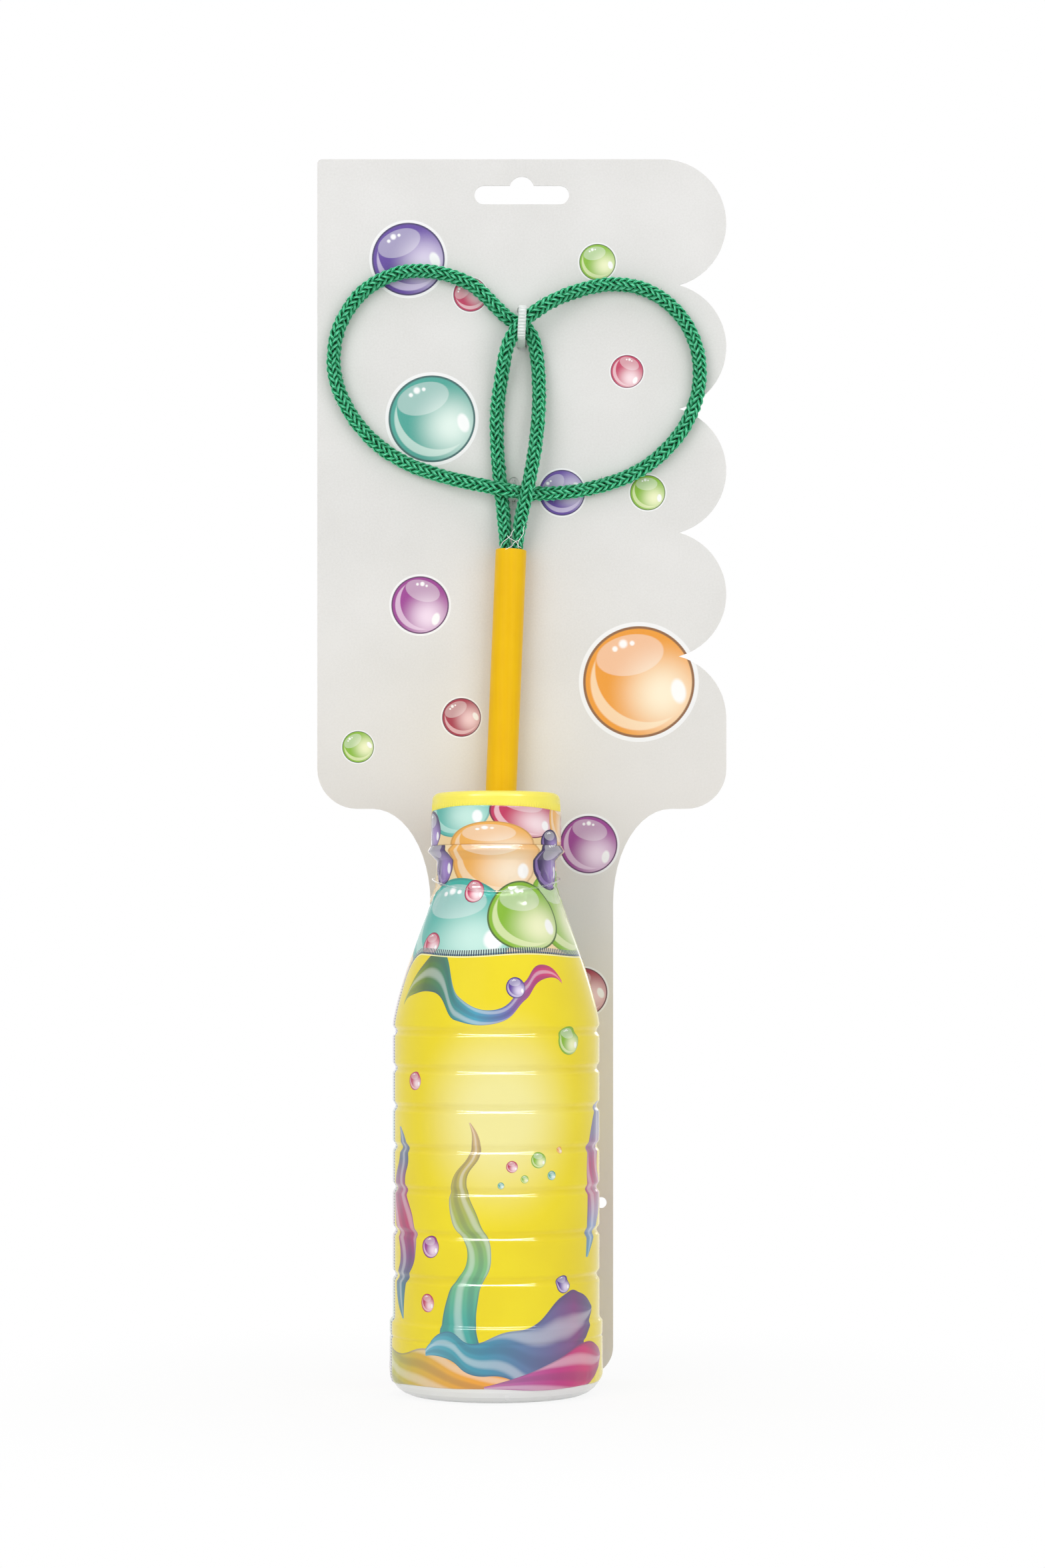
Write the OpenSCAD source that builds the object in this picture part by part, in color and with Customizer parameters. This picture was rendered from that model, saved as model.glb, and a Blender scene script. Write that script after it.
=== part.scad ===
// A bubble wand with a green rope ring, packed on a scalloped card with its bottle of bubble liquid.
// Millimetres. +Z is up, the front faces -Y, and the origin is the centre of the bottle's base.

/* [Bottle body] */
// Radius of the ribbed body over its printed sleeve
body_r = 33.9; // [32:0.1:34.4]
// Radius of the wider band at the foot
base_r = 34.9; // [34.6:0.1:36]
// Radius of the rounded heel
heel_r = 8; // [6:0.5:10]
// Height of the wider band at the foot
base_band_h = 25.6; // [22:0.2:30]
// Height of the slope between the foot band and the body
base_step_h = 1.8; // [1:0.1:3]
// Height of the fine crease round the foot band
crease_z = 19.4; // [14:0.2:20.5]
// Depth of the fine crease
crease_depth = 0.35; // [0.1:0.05:0.5]
// Half the width of the fine crease
crease_half = 0.8; // [0.4:0.1:1.2]
// Inner radius of the ring that the bottle stands on
stand_in_r = 19; // [15:0.5:22]
// Height of the dome pushed up into the base
push_up = 5; // [3:0.5:8]
// Height at which the body turns into the shoulder
body_h = 121; // [120:0.5:130]
// Thickness of the bottle wall
wall = 0.7; // [0.4:0.05:1]

/* [Ribs] */
// Number of pinched ribs
rib_count = 7; // [1:1:7]
// Distance of the highest rib under the shoulder
rib_drop = 2.2; // [2.1:0.1:4]
// Distance of the lowest rib over the foot band
rib_foot_gap = 13.7; // [12:0.1:20]
// How much further apart each next pair of ribs lies
rib_growth = 0.5; // [0:0.1:0.5]
// Depth of a rib
rib_depth = 0.9; // [0.3:0.1:1.2]
// Half the width of a rib
rib_half = 2; // [1:0.1:2.1]

/* [Neck] */
// Height of the sloping shoulder
shoulder_h = 45; // [35:0.5:60]
// Outer radius of the neck over its sleeve
neck_r = 19.4; // [18.8:0.1:20]
// Height of the plain neck under the support ring
neck_h = 10.6; // [9:0.2:14]
// Height of the slope under the support ring
ring_slope_h = 2.4; // [1:0.1:4]
// Outer radius of the support ring over its sleeve
ring_r = 21.7; // [21:0.1:22.5]
// Thickness of the support ring
ring_h = 2.2; // [1.6:0.1:3]
// Outer radius of the neck finish inside the cap
finish_r = 17.4; // [17:0.05:17.6]
// Height of the neck finish over the support ring
finish_h = 15.1; // [14.8:0.1:17]
// Radius of the mouth's bore
bore_r = 15.4; // [14:0.1:16]
// Radius of the bead that holds the tamper band
bead_r = 18.8; // [18.4:0.05:19]
// Height of that bead
bead_h = 1.4; // [1:0.1:1.6]
// Rise of the thread in one turn
thread_lead = 4.2; // [4:0.1:4.6]
// Turns of thread on the neck and in the cap
thread_turns = 1.25; // [0.75:0.25:1.25]
// Depth of the neck's thread
thread_depth = 1.3; // [1:0.05:1.4]
// Width of a thread at its root
thread_root_w = 2.4; // [1.8:0.1:2.6]
// Width of a thread at its crest
thread_crest_w = 0.9; // [0.6:0.1:1.2]

/* [Liquid and sleeves] */
// How far the bubble liquid's level lies under the foot of the neck
fill_drop = 6; // [4:0.5:30]
// Gap at which the liquid and the tear-off sleeve follow their walls
snug_gap = 0.15; // [0.12:0.01:0.2]
// Thickness of the shrink sleeve
film = 0.2; // [0.1:0.05:0.3]
// Height of the sleeve's lower edge
sleeve_bottom_z = 5; // [3:0.5:7]
// How far the body sleeve turns over the support ring
sleeve_over_ring = 0.4; // [0.2:0.1:0.6]
// Width of the torn gap between the two sleeves
sleeve_tear = 0.5; // [0.3:0.1:0.8]
// How much of the cap shows over the tear-off sleeve
cap_show = 4.7; // [3:0.1:7]

/* [Cap] */
// Outer radius of the cap
cap_r = 20.95; // [20.8:0.05:21.2]
// Height of the cap
cap_h = 12.3; // [11.8:0.1:12.8]
// Thickness of the cap's top
cap_top_t = 1.6; // [1.2:0.1:2.2]
// Thickness of the cap's skirt
cap_skirt_t = 1.75; // [1.5:0.05:1.8]
// Radius of the cap's rounded top edge
cap_edge_r = 2.4; // [1:0.1:3]
// Depth of the cap's inner thread
cap_thread_depth = 1.1; // [0.9:0.05:1.2]
// Thickness of the foam liner
liner_t = 1; // [0.6:0.1:1.6]
// Gap round the foam liner
liner_gap = 0.6; // [0.3:0.05:1]
// Gap between the cap and its tamper band
band_tear = 0.4; // [0.3:0.05:0.6]
// Gap between the support ring and the tamper band
band_foot_gap = 1.4; // [1:0.1:1.8]
// Thickness of the tamper band
band_t = 1.3; // [1:0.05:1.4]
// Height of the inner lip of the tamper band
band_lip_h = 0.8; // [0.6:0.05:1]
// Running gap round what turns or lifts off
part_gap = 0.4; // [0.3:0.05:0.5]

/* [Card] */
// Width of the card over its lobes
card_w = 138.4; // [130:0.2:150]
// Height of the card
card_h = 411.6; // [408:0.2:430]
// Thickness of the card
card_t = 0.6; // [0.4:0.1:1]
// Distance of the card's centre line to the right of the bottle's axis
card_x = 8.4; // [6:0.2:12]
// Height of the card's lower edge over the standing face
card_z = 1.2; // [0.6:0.2:6]
// Height of the wide upper panel
panel_h = 219.7; // [214:0.1:222]
// Radius of the panel's lower corners
panel_corner_r = 13.5; // [8:0.5:16]
// Radius of the top left corner
top_corner_r = 1.6; // [1:0.1:6]
// Radius of a lobe on the right edge
lobe_r = 21.65; // [21.2:0.05:24]
// Distance between two lobes
lobe_pitch = 41.85; // [38:0.05:42]
// Number of lobes
lobe_count = 5; // [2:1:5]
// Width of the narrow tail
tail_w = 61.8; // [56:0.2:64]
// Radius of the tail's lower corners
tail_corner_r = 10; // [5:0.5:16]
// Width of the concave flare beside the tail
flare_w = 19.6; // [10:0.2:22]
// Height of the concave flare beside the tail
flare_h = 31.8; // [20:0.2:45]
// Width of the hang slot
slot_w = 32; // [28:0.5:36]
// Height of the flat part of the hang slot
slot_h = 6.3; // [5:0.1:7]
// Distance of the slot's centre line under the card's top
slot_drop = 12.1; // [10:0.1:16]
// Radius of the slot's centre bump
slot_bump_r = 4.2; // [3:0.1:5]
// Height of the centre bump over the flat part
slot_bump_h = 3.1; // [2:0.1:4]
// Radius of the two tie holes beside the bottle
side_hole_r = 1.85; // [1.5:0.05:2.5]
// Distance between the two tie holes beside the bottle
side_hole_pitch = 53.7; // [50:0.1:54]
// Height of the tie holes over the card's lower edge
side_hole_z = 58.7; // [40:0.1:80]

/* [Wand handle] */
// Outer radius of the handle tube
tube_r = 5.2; // [5.1:0.05:5.4]
// Wall of the handle tube
tube_wall = 1; // [0.5:0.05:1]
// Length of the handle tube
tube_len = 122; // [110:1:125]
// Height of the tube's mouth over the foot of the bottle's neck
tube_rise = 114; // [110:0.5:118]
// Distance of the tube's mouth to the right of the bottle's axis
tube_top_x = 4.8; // [4.6:0.05:5]
// Sideways lean of the handle, as a share of its height
tube_lean_share = 0.0417; // [0.04:0.0001:0.043]
// Length of the hot-melt plug in the tube
glue_len = 8; // [4:0.5:16]
// Distance of the plug under the tube's mouth
glue_drop = 1.5; // [0.5:0.1:3]
// Radial gap between the plug and the rope
glue_gap = 0.13; // [0.08:0.01:0.14]
// Gap between the two rope ends in the tube
strand_gap = 0.2; // [0.1:0.02:0.22]

/* [Rope ring] */
// Diameter of the braided rope
rope_d = 4.4; // [4:0.1:4.4]
// Diameter to which the rope is squeezed in the tube
rope_squeezed_d = 3.9; // [3.6:0.05:3.9]
// Flat sides of the rope's outer form
rope_sides = 10; // [8:1:12]

/* [Ties] */
// Thickness of a clear tie strap
strap_t = 1.1; // [0.8:0.05:1.2]
// Width of a clear tie strap
strap_w = 2.4; // [2:0.1:2.4]
// Outer radius of the strap's bends
strap_bend_r = 2.2; // [1.6:0.1:2.4]
// Radius of the holes that the straps pass
strap_hole_r = 1.7; // [1.6:0.05:1.8]
// Length of a tie's lock housing
lock_len = 5; // [4:0.2:6]
// Depth of a tie's lock housing
lock_depth = 3.6; // [3:0.1:4]
// Width of a tie's lock housing
lock_w = 4.4; // [4:0.1:6]
// Height of the top tie's centre over the tube's mouth
top_tie_rise = 75.5; // [75.3:0.1:75.6]
// Distance of the top tie to the right of the tube's mouth
top_tie_side = 3.7; // [3.6:0.05:3.8]
// Distance between the two legs of the top tie
top_tie_span = 12; // [11.8:0.1:12.4]
// Height of the top tie over the card
top_tie_reach = 11.3; // [11.2:0.1:12.4]
// Height of the lower tie's centre over the tube's mouth
low_tie_rise = 19.7; // [19.6:0.1:19.8]
// Distance of the lower tie to the right of the tube's mouth
low_tie_side = 0.9; // [0.8:0.05:1]
// Distance between the two legs of the lower tie
low_tie_span = 7.8; // [7.6:0.1:8]
// Height of the lower tie over the card
low_tie_reach = 9.2; // [9.1:0.1:9.6]
// Radius of the clear line round the neck
line_r = 0.4; // [0.3:0.05:0.4]
// Distance between the two holes that the line passes
line_pitch = 13.2; // [12.8:0.1:13.6]
// Depth of the line's holes under the support ring
line_drop = 6.1; // [6:0.05:6.2]
// Radius of the line's holes
line_hole_r = 0.8; // [0.7:0.05:1]
// Flat sides of the line's outer form
line_sides = 8; // [6:1:12]
// Radius of the knot behind the card
knot_r = 1.3; // [1:0.1:1.8]
// Gap between the card's back and the knotted line
knot_gap = 0.1; // [0.05:0.05:0.3]

/* [Hidden] */
$fn = 96;
// How far a cut runs past the face that it opens
cut = 1;
// How far a thread's root is sunk into its wall
thread_sink = 0.3;

// Heights worked out from the bottle upwards
rib_gaps = max(1, rib_count - 1);
rib_zone_h = body_h - rib_drop - rib_foot_gap - base_band_h;
rib_pitch = (rib_zone_h - rib_growth * rib_gaps * (rib_gaps - 1) / 2) / rib_gaps;
neck_z = body_h + shoulder_h;
fill_z = neck_z - fill_drop;
ring_z = neck_z + neck_h;
ring_top_z = ring_z + ring_h;
lip_z = ring_top_z + finish_h;
cap_under_z = lip_z + liner_t;
cap_top_z = cap_under_z + cap_top_t;
cap_skirt_z = cap_top_z - cap_h;
band_z = ring_top_z + band_foot_gap;
band_top_z = cap_skirt_z - band_tear;
bead_z = band_z + band_lip_h + part_gap;
// The neck's thread starts over the bead, and the cap's thread lies half a lead higher between its turns
neck_thread_z = bead_z + bead_h + thread_root_w / 2 + part_gap;
cap_thread_z = neck_thread_z + thread_lead / 2;
shell_thick = film + wall;

// Places worked out for the card and what lies on it
card_y = base_r + part_gap;
card_back_y = card_y + card_t;
card_top_z = card_z + card_h;
panel_z = card_top_z - panel_h;
half_card = card_w / 2;
half_tail = tail_w / 2;
tube_y = card_y - part_gap - tube_r;
tube_top_z = neck_z + tube_rise;
tube_tilt = atan(tube_lean_share);
top_tie_x = tube_top_x + top_tie_side;
top_tie_z = tube_top_z + top_tie_rise;
low_tie_x = tube_top_x + low_tie_side;
low_tie_z = tube_top_z + low_tie_rise;
line_hole_z = ring_z - line_drop;
rope_r = rope_d / 2;
rope_squeezed_r = rope_squeezed_d / 2;

// Each point is a share of the standing ring's radius and of the dome's height
dome_shares = [[0, 1], [0.42, 0.92], [0.74, 0.6], [1, 0]];
// Places across one rib, as shares of half its width
rib_shares = [-1, -0.6, -0.3, 0, 0.3, 0.6, 1];
// How full the shoulder's curve is
shoulder_power_share = 1.25;
shoulder_steps = 18;
heel_steps = 6;
flare_steps = 12;
thread_steps = 24;
// How much of a thread's depth its first ring keeps, and the rings over which it fades
fade_share = 0.15;
fade_rings = 4;

// Route of the rope's centre line from the middle of the tube's mouth: out of the tube, round both loops
// and back into the tube
ROPE_ROUTE = [
    [-2.85, 0, -19.2], [-2.05, 0, 0], [-2.4, 1.5, 11], [-3.6, 3, 22], [-4.7, 3, 35], [-4.6, 2.7, 48],
    [-3, 0.9, 60], [-0.8, -1.3, 69.4], [3.8, -1.9, 76.2], [11.6, -1.3, 82.2], [22.2, 1.5, 87.4],
    [34.6, 3, 90], [46.6, 3, 87.6], [56.6, 3, 80], [62.4, 3, 69.4], [63.6, 3, 57], [60, 3, 44.6],
    [52.2, 3, 34], [41.6, 3, 26.2], [29.6, 3, 21.8], [17.2, 3, 19.6], [6.6, 3, 19.4], [1.2, 0.8, 19.7],
    [-4, -1.7, 20.4], [-12.4, -0.5, 22.2], [-23.4, 2.5, 25.2], [-35.4, 3, 29.6], [-46.4, 3, 37],
    [-54.8, 3, 47.4], [-59.6, 3, 60], [-58.4, 3, 74.4], [-50.4, 3, 87], [-38.4, 3, 93.6],
    [-25.4, 3, 94], [-12.8, 3, 89.4], [-1.8, 3, 79.2], [6.5, 3, 73.4], [9, 2.5, 62.6], [9.4, 1.1, 49],
    [8.2, -1, 35], [5.8, -1.8, 21.4], [3.3, -0.9, 10.4], [2.05, 0, 0], [1.25, 0, -19.2]];
// Route of the clear line from the support ring's height: out of one hole in the card, round the neck
// and back into the other hole
LINE_ROUTE = [
    [-6.6, 35, -6.1], [-12.9, 21.6, -6.6], [-18.9, 8.6, -7.2], [-20.8, -0.6, -8.2], [-19, -8.9, -9.6],
    [-14, -16.2, -11.2], [-7.3, -20.2, -12.2], [0, -21.6, -12.6], [7.3, -20.2, -12.2], [14, -16.2, -11.2],
    [19, -8.9, -9.6], [20.8, -0.6, -8.2], [18.9, 8.6, -7.2], [12.9, 21.6, -6.6], [6.6, 35, -6.1]];

// Height of one rib, counted down from the shoulder
function rib_z(i) = body_h - rib_drop - rib_pitch * i - rib_growth * i * (i - 1) / 2;

// Outline of the rounded heel, from the standing face up
function heel_points(centre_r, radius) = [
    for (i = [0:heel_steps]) let (a = -90 + 90 * i / heel_steps)
        [centre_r + radius * cos(a), heel_r + radius * sin(a)]];

// Outline of the sleeved bottle over the heel, up to the top of the support ring
function side_points() = concat(
    [[base_r, crease_z - crease_half], [base_r - crease_depth, crease_z], [base_r, crease_z + crease_half],
        [base_r, base_band_h - base_step_h], [body_r, base_band_h]],
    [for (i = [rib_count - 1:-1:0], s = rib_shares)
        [body_r - rib_depth * (1 + cos(180 * s)) / 2, rib_z(i) + rib_half * s]],
    [for (i = [0:shoulder_steps]) let (share = i / shoulder_steps)
        [shoulder_r(share), body_h + shoulder_h * share]],
    [[neck_r, ring_z - ring_slope_h], [ring_r, ring_z], [ring_r, ring_top_z]]);

// The same outline moved towards the axis
function inset(points, d) = [for (p = points) [p[0] - d, p[1]]];

// Points of an outline in reverse order
function reversed(points) = [for (i = [len(points) - 1:-1:0]) points[i]];

// Those points of an outline that lie under a height
function below(points, z) = [for (p = points) if (p[1] < z) p];

// Outer radius of the shoulder at a share of its height
function shoulder_r(share) = neck_r + (body_r - neck_r) * (1 - pow(share, shoulder_power_share));

// Outline of the inner wall from the axis up to a height, with a gap to the wall
function inside_points(top_z, gap) = concat(
    [for (s = dome_shares) [stand_in_r * s[0], push_up * s[1] + shell_thick + gap]],
    heel_points(base_r - heel_r, heel_r - shell_thick - gap),
    inset(below(side_points(), top_z), shell_thick + gap));

// A unit vector
function unit(v) = v / norm(v);

// Direction of a route at one of its points
function heading(route, i) = unit(route[min(i + 1, len(route) - 1)] - route[max(i - 1, 0)]);

// Rings of points round a route, turned to a direction along which it never runs
function route_rings(route, normal, radii, sides) = [
    for (i = [0:len(route) - 1])
        let (t = heading(route, i), across = unit(cross(t, normal)), up = cross(across, t))
        [for (j = [0:sides - 1]) let (a = 360 * j / sides)
            route[i] + radii[i] * (cos(a) * across + sin(a) * up)]];

// A closed skin over a list of rings that hold the same number of points
module loft(rings) {
    n = len(rings[0]);
    last = (len(rings) - 1) * n;
    sides = [for (i = [0:len(rings) - 2], j = [0:n - 1])
        let (a = i * n + j, b = i * n + (j + 1) % n)
            each [[a, b, b + n], [a, b + n, a + n]]];
    ends = [for (j = [1:n - 2]) each [[0, j + 1, j], [last, last + j, last + j + 1]]];
    polyhedron(points = [for (ring = rings) each ring], faces = concat(sides, ends));
}

// A right-hand thread on a circle of root_r, with its crest depth further out, or further in if negative
module thread(root_r, depth, z) {
    count = round(thread_turns * thread_steps);
    sink = depth > 0 ? thread_sink : -thread_sink;
    rings = [for (i = [0:count])
        let (a = 360 * i / thread_steps,
            fade = min(1, fade_share + (1 - fade_share) * min(i, count - i) / fade_rings),
            crest = root_r - sink + (depth + sink) * fade,
            mid = z + thread_lead * i / thread_steps,
            root = root_r - sink,
            half_root = thread_root_w / 2,
            half_crest = thread_crest_w / 2)
            [for (p = [[root, -half_root], [crest, -half_crest], [crest, half_crest], [root, half_root]])
                [p[0] * cos(a), p[0] * sin(a), mid + p[1]]]];
    loft(depth > 0 ? rings : [for (ring = rings) reversed(ring)]);
}

// Blow-moulded bottle with its ribbed body, support ring, bead and threaded finish
module bottle_shell() {
    color([0.93, 0.95, 0.93, 0.5]) {
        rotate_extrude()
            polygon(concat(
                [for (s = dome_shares) [stand_in_r * s[0], push_up * s[1]]],
                inset(heel_points(base_r - heel_r, heel_r), film),
                inset(side_points(), film),
                [[finish_r, ring_top_z], [finish_r, lip_z], [bore_r, lip_z], [bore_r, ring_z]],
                reversed(inside_points(ring_z - ring_slope_h, 0))));
        translate([0, 0, bead_z])
            rotate_extrude()
                polygon([[bore_r, 0], [bead_r, 0], [bead_r, bead_h / 2], [finish_r, bead_h],
                    [bore_r, bead_h]]);
        thread(finish_r, thread_depth, neck_thread_z);
    }
}

// Soap solution that fills the bottle up to the shoulder
module bubble_liquid() {
    top_r = shoulder_r((fill_z - body_h) / shoulder_h) - shell_thick - snug_gap;
    color([0.85, 0.93, 0.95, 0.6])
        rotate_extrude()
            polygon(concat(inside_points(fill_z, snug_gap), [[top_r, fill_z], [0, fill_z]]));
}

// Printed shrink sleeve from the heel to just over the support ring
module body_sleeve() {
    heel_centre_r = base_r - heel_r;
    low_r = heel_centre_r + sqrt(pow(heel_r, 2) - pow(heel_r - sleeve_bottom_z, 2));
    top = [[ring_r, ring_top_z + sleeve_over_ring]];
    outer = concat([[low_r, sleeve_bottom_z]],
        [for (p = heel_points(heel_centre_r, heel_r)) if (p[1] > sleeve_bottom_z + film) p],
        below(side_points(), ring_top_z), top);
    color([0.98, 0.9, 0.16])
        rotate_extrude()
            polygon(concat(outer, reversed(inset(outer, film))));
}

// Tear-off sleeve round the cap's skirt, which turns with the cap
module neck_sleeve() {
    low_z = ring_top_z + sleeve_over_ring + sleeve_tear;
    inner_r = cap_r + snug_gap;
    color([0.55, 0.8, 0.74])
        translate([0, 0, low_z])
            difference() {
                cylinder(r = inner_r + film, h = cap_top_z - cap_show - low_z);
                translate([0, 0, -cut])
                    cylinder(r = inner_r, h = cap_top_z - cap_show - low_z + 2 * cut);
            }
}

// Screw cap with its inner thread
module cap() {
    inner_r = cap_r - cap_skirt_t;
    edge = [for (i = [0:heel_steps]) let (a = 90 * i / heel_steps)
        [cap_r - cap_edge_r + cap_edge_r * cos(a), cap_top_z - cap_edge_r + cap_edge_r * sin(a)]];
    color([1, 0.91, 0.15]) {
        rotate_extrude()
            polygon(concat([[inner_r, cap_skirt_z], [cap_r, cap_skirt_z]], edge,
                [[0, cap_top_z], [0, cap_under_z], [inner_r, cap_under_z]]));
        thread(inner_r, -cap_thread_depth, cap_thread_z);
    }
}

// Foam disc that seals the cap on the lip
module cap_liner() {
    color([0.95, 0.95, 0.92])
        translate([0, 0, lip_z])
            cylinder(r = cap_r - cap_skirt_t - liner_gap, h = liner_t);
}

// Ring that stays under the bead when the cap is first turned
module tamper_band() {
    lip_r = finish_r + part_gap;
    inner_r = bead_r + part_gap;
    outer_r = inner_r + band_t;
    lip_top_z = band_z + band_lip_h;
    color([1, 0.91, 0.15])
        rotate_extrude()
            polygon([[lip_r, band_z], [outer_r, band_z], [outer_r, band_top_z],
                [inner_r, band_top_z], [inner_r, lip_top_z], [lip_r, lip_top_z]]);
}

// Concave flare between one side of the tail and the panel's lower edge, with side = 1 or -1
module flare(side) {
    points = concat(
        [for (i = [0:flare_steps]) let (a = 90 * i / flare_steps)
            [side * flare_w * (1 - cos(a)), flare_h * (sin(a) - 1)]],
        [[side * flare_w, cut], [-side * cut, cut], [-side * cut, -flare_h]]);
    polygon(side > 0 ? points : reversed(points));
}

// A rectangle from one corner to the other
module slab(low, high) {
    translate(low)
        square(high - low);
}

// A rectangle with round corners, centred
module round_rect(w, h, r) {
    square([w - 2 * r, h], center = true);
    square([w, h - 2 * r], center = true);
    for (x = [-1, 1], y = [-1, 1])
        translate([x * (w / 2 - r), y * (h / 2 - r)])
            circle(r);
}

// Outline of the card, with its centre line at x = 0 and its top edge at y = 0
module card_outline() {
    lobe_x = half_card - lobe_r;
    last_lobe_y = -lobe_r - lobe_pitch * (lobe_count - 1);
    slab([-half_card, -panel_h + panel_corner_r], [lobe_x, -top_corner_r]);
    slab([-half_card + top_corner_r, -panel_h + panel_corner_r], [lobe_x, 0]);
    translate([-half_card + top_corner_r, -top_corner_r])
        circle(top_corner_r);
    for (i = [0:lobe_count - 1])
        translate([lobe_x, -lobe_r - lobe_pitch * i])
            circle(lobe_r);
    slab([0, -panel_h + panel_corner_r], [half_card, last_lobe_y]);
    slab([-half_card + panel_corner_r, -panel_h], [half_card - panel_corner_r, -panel_h + panel_corner_r]);
    for (x = [-1, 1])
        translate([x * (half_card - panel_corner_r), -panel_h + panel_corner_r])
            circle(panel_corner_r);
    slab([-half_tail, -card_h + tail_corner_r], [half_tail, -panel_h + cut]);
    slab([-half_tail + tail_corner_r, -card_h], [half_tail - tail_corner_r, -card_h + tail_corner_r]);
    for (x = [-1, 1])
        translate([x * (half_tail - tail_corner_r), -card_h + tail_corner_r])
            circle(tail_corner_r);
    for (side = [-1, 1])
        translate([side * half_tail, -panel_h])
            flare(side);
}

// Hang slot with its centre bump, centred on the flat part
module hang_slot() {
    square([slot_w - slot_h, slot_h], center = true);
    for (x = [-1, 1])
        translate([x * (slot_w - slot_h) / 2, 0])
            circle(slot_h / 2);
    translate([0, slot_h / 2 + slot_bump_h - slot_bump_r])
        circle(slot_bump_r);
}

// Round holes in the card at [x, z] places
module card_holes(places, r) {
    for (p = places)
        translate([p[0] - card_x, p[1] - card_top_z])
            circle(r);
}

// Printed card with its lobes, hang slot and tie holes
module backing_card() {
    side_holes = [for (x = [-1, 1]) [card_x + x * side_hole_pitch / 2, card_z + side_hole_z]];
    strap_holes = [for (s = [-1, 1]) each [
        [top_tie_x, top_tie_z + s * top_tie_span / 2], [low_tie_x, low_tie_z + s * low_tie_span / 2]]];
    line_holes = [for (x = [-1, 1]) [x * line_pitch / 2, line_hole_z]];
    color([0.93, 0.93, 0.92])
        translate([card_x, card_back_y, card_top_z])
            rotate([90, 0, 0])
                linear_extrude(card_t)
                    difference() {
                        card_outline();
                        translate([0, -slot_drop])
                            hang_slot();
                        card_holes(side_holes, side_hole_r);
                        card_holes(strap_holes, strap_hole_r);
                        card_holes(line_holes, line_hole_r);
                    }
}

// Puts children that stand on z = 0 in line with the handle, measured down from its mouth
module at_handle(drop) {
    translate([tube_top_x, tube_y, tube_top_z])
        rotate([0, tube_tilt, 0])
            translate([0, 0, -drop])
                children();
}

// Plain tube that is both the handle and the holder of the rope's ends
module handle_tube() {
    color([0.95, 0.71, 0.08])
        at_handle(tube_len)
            difference() {
                cylinder(r = tube_r, h = tube_len);
                translate([0, 0, -cut])
                    cylinder(r = tube_r - tube_wall, h = tube_len + 2 * cut);
            }
}

// Hot-melt plug round the two rope ends
module tube_glue() {
    color([0.9, 0.9, 0.85, 0.6])
        at_handle(glue_drop + glue_len)
            difference() {
                cylinder(r = tube_r - tube_wall, h = glue_len);
                for (x = [-1, 1])
                    translate([x * (rope_squeezed_r + strand_gap / 2), 0, -cut])
                        cylinder(r = rope_squeezed_r + glue_gap, h = glue_len + 2 * cut);
            }
}

// Braided rope, squeezed where it lies in the handle
module ring_rope() {
    last = len(ROPE_ROUTE) - 1;
    radii = [for (i = [0:last]) i < 2 || i > last - 2 ? rope_squeezed_r : rope_r];
    color([0.15, 0.6, 0.4])
        translate([tube_top_x, tube_y, tube_top_z])
            loft(route_rings(ROPE_ROUTE, [0, 1, 0], radii, rope_sides));
}

// A closed strap seen from the side, from the front of the arch to behind the card
module strap_ring(span, reach) {
    depth = reach + part_gap + card_t + part_gap + strap_t;
    translate([depth / 2 - reach - part_gap, 0])
        difference() {
            round_rect(depth, span + strap_t, strap_bend_r);
            round_rect(depth - 2 * strap_t, span - strap_t, strap_bend_r - strap_t);
        }
}

// Turns a side view, drawn with x towards the card's back from its front face, into a strap
module strap(x, z) {
    translate([x - strap_w / 2, card_y, z])
        rotate([90, 0, 90])
            linear_extrude(strap_w)
                children();
}

// The strap's arch in front of the card
module tie_loop(x, z, span, reach) {
    color([0.9, 0.93, 0.93, 0.6])
        strap(x, z)
            intersection() {
                strap_ring(span, reach);
                slab([-reach - cut, -span], [-part_gap, span]);
            }
}

// The strap's legs in their holes, its back and its lock housing
module tie_lock(x, z, span, reach) {
    color([0.9, 0.93, 0.93, 0.6]) {
        strap(x, z)
            intersection() {
                strap_ring(span, reach);
                slab([0, -span], [card_t + part_gap + strap_t + cut, span]);
            }
        translate([x - lock_w / 2, card_back_y + part_gap, z - lock_len / 2])
            cube([lock_w, lock_depth, lock_len]);
    }
}

// Thin clear line round the neck, up to the card
module neck_line() {
    color([0.92, 0.94, 0.94, 0.6])
        translate([0, 0, ring_z])
            loft(route_rings(LINE_ROUTE, [0, 0, 1], [for (p = LINE_ROUTE) line_r], line_sides));
}

// Ends of the clear line, through the card and knotted behind it
module neck_line_knot() {
    strand_y = card_back_y + line_r + knot_gap;
    color([0.92, 0.94, 0.94, 0.6]) {
        for (x = [-1, 1])
            translate([x * line_pitch / 2, strand_y, line_hole_z])
                rotate([90, 0, 0])
                    cylinder(r = line_r, h = strand_y - card_y);
        translate([-line_pitch / 2, strand_y, line_hole_z])
            rotate([0, 90, 0])
                cylinder(r = line_r, h = line_pitch);
        translate([0, card_back_y + knot_r + knot_gap, line_hole_z])
            sphere(knot_r);
    }
}

bottle_shell();
bubble_liquid();
body_sleeve();
neck_sleeve();
cap();
cap_liner();
tamper_band();
backing_card();
handle_tube();
tube_glue();
ring_rope();
tie_loop(top_tie_x, top_tie_z, top_tie_span, top_tie_reach);  // top_tie_loop
tie_lock(top_tie_x, top_tie_z, top_tie_span, top_tie_reach);  // top_tie_lock
tie_loop(low_tie_x, low_tie_z, low_tie_span, low_tie_reach);  // low_tie_loop
tie_lock(low_tie_x, low_tie_z, low_tie_span, low_tie_reach);  // low_tie_lock
neck_line();
neck_line_knot();
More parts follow.
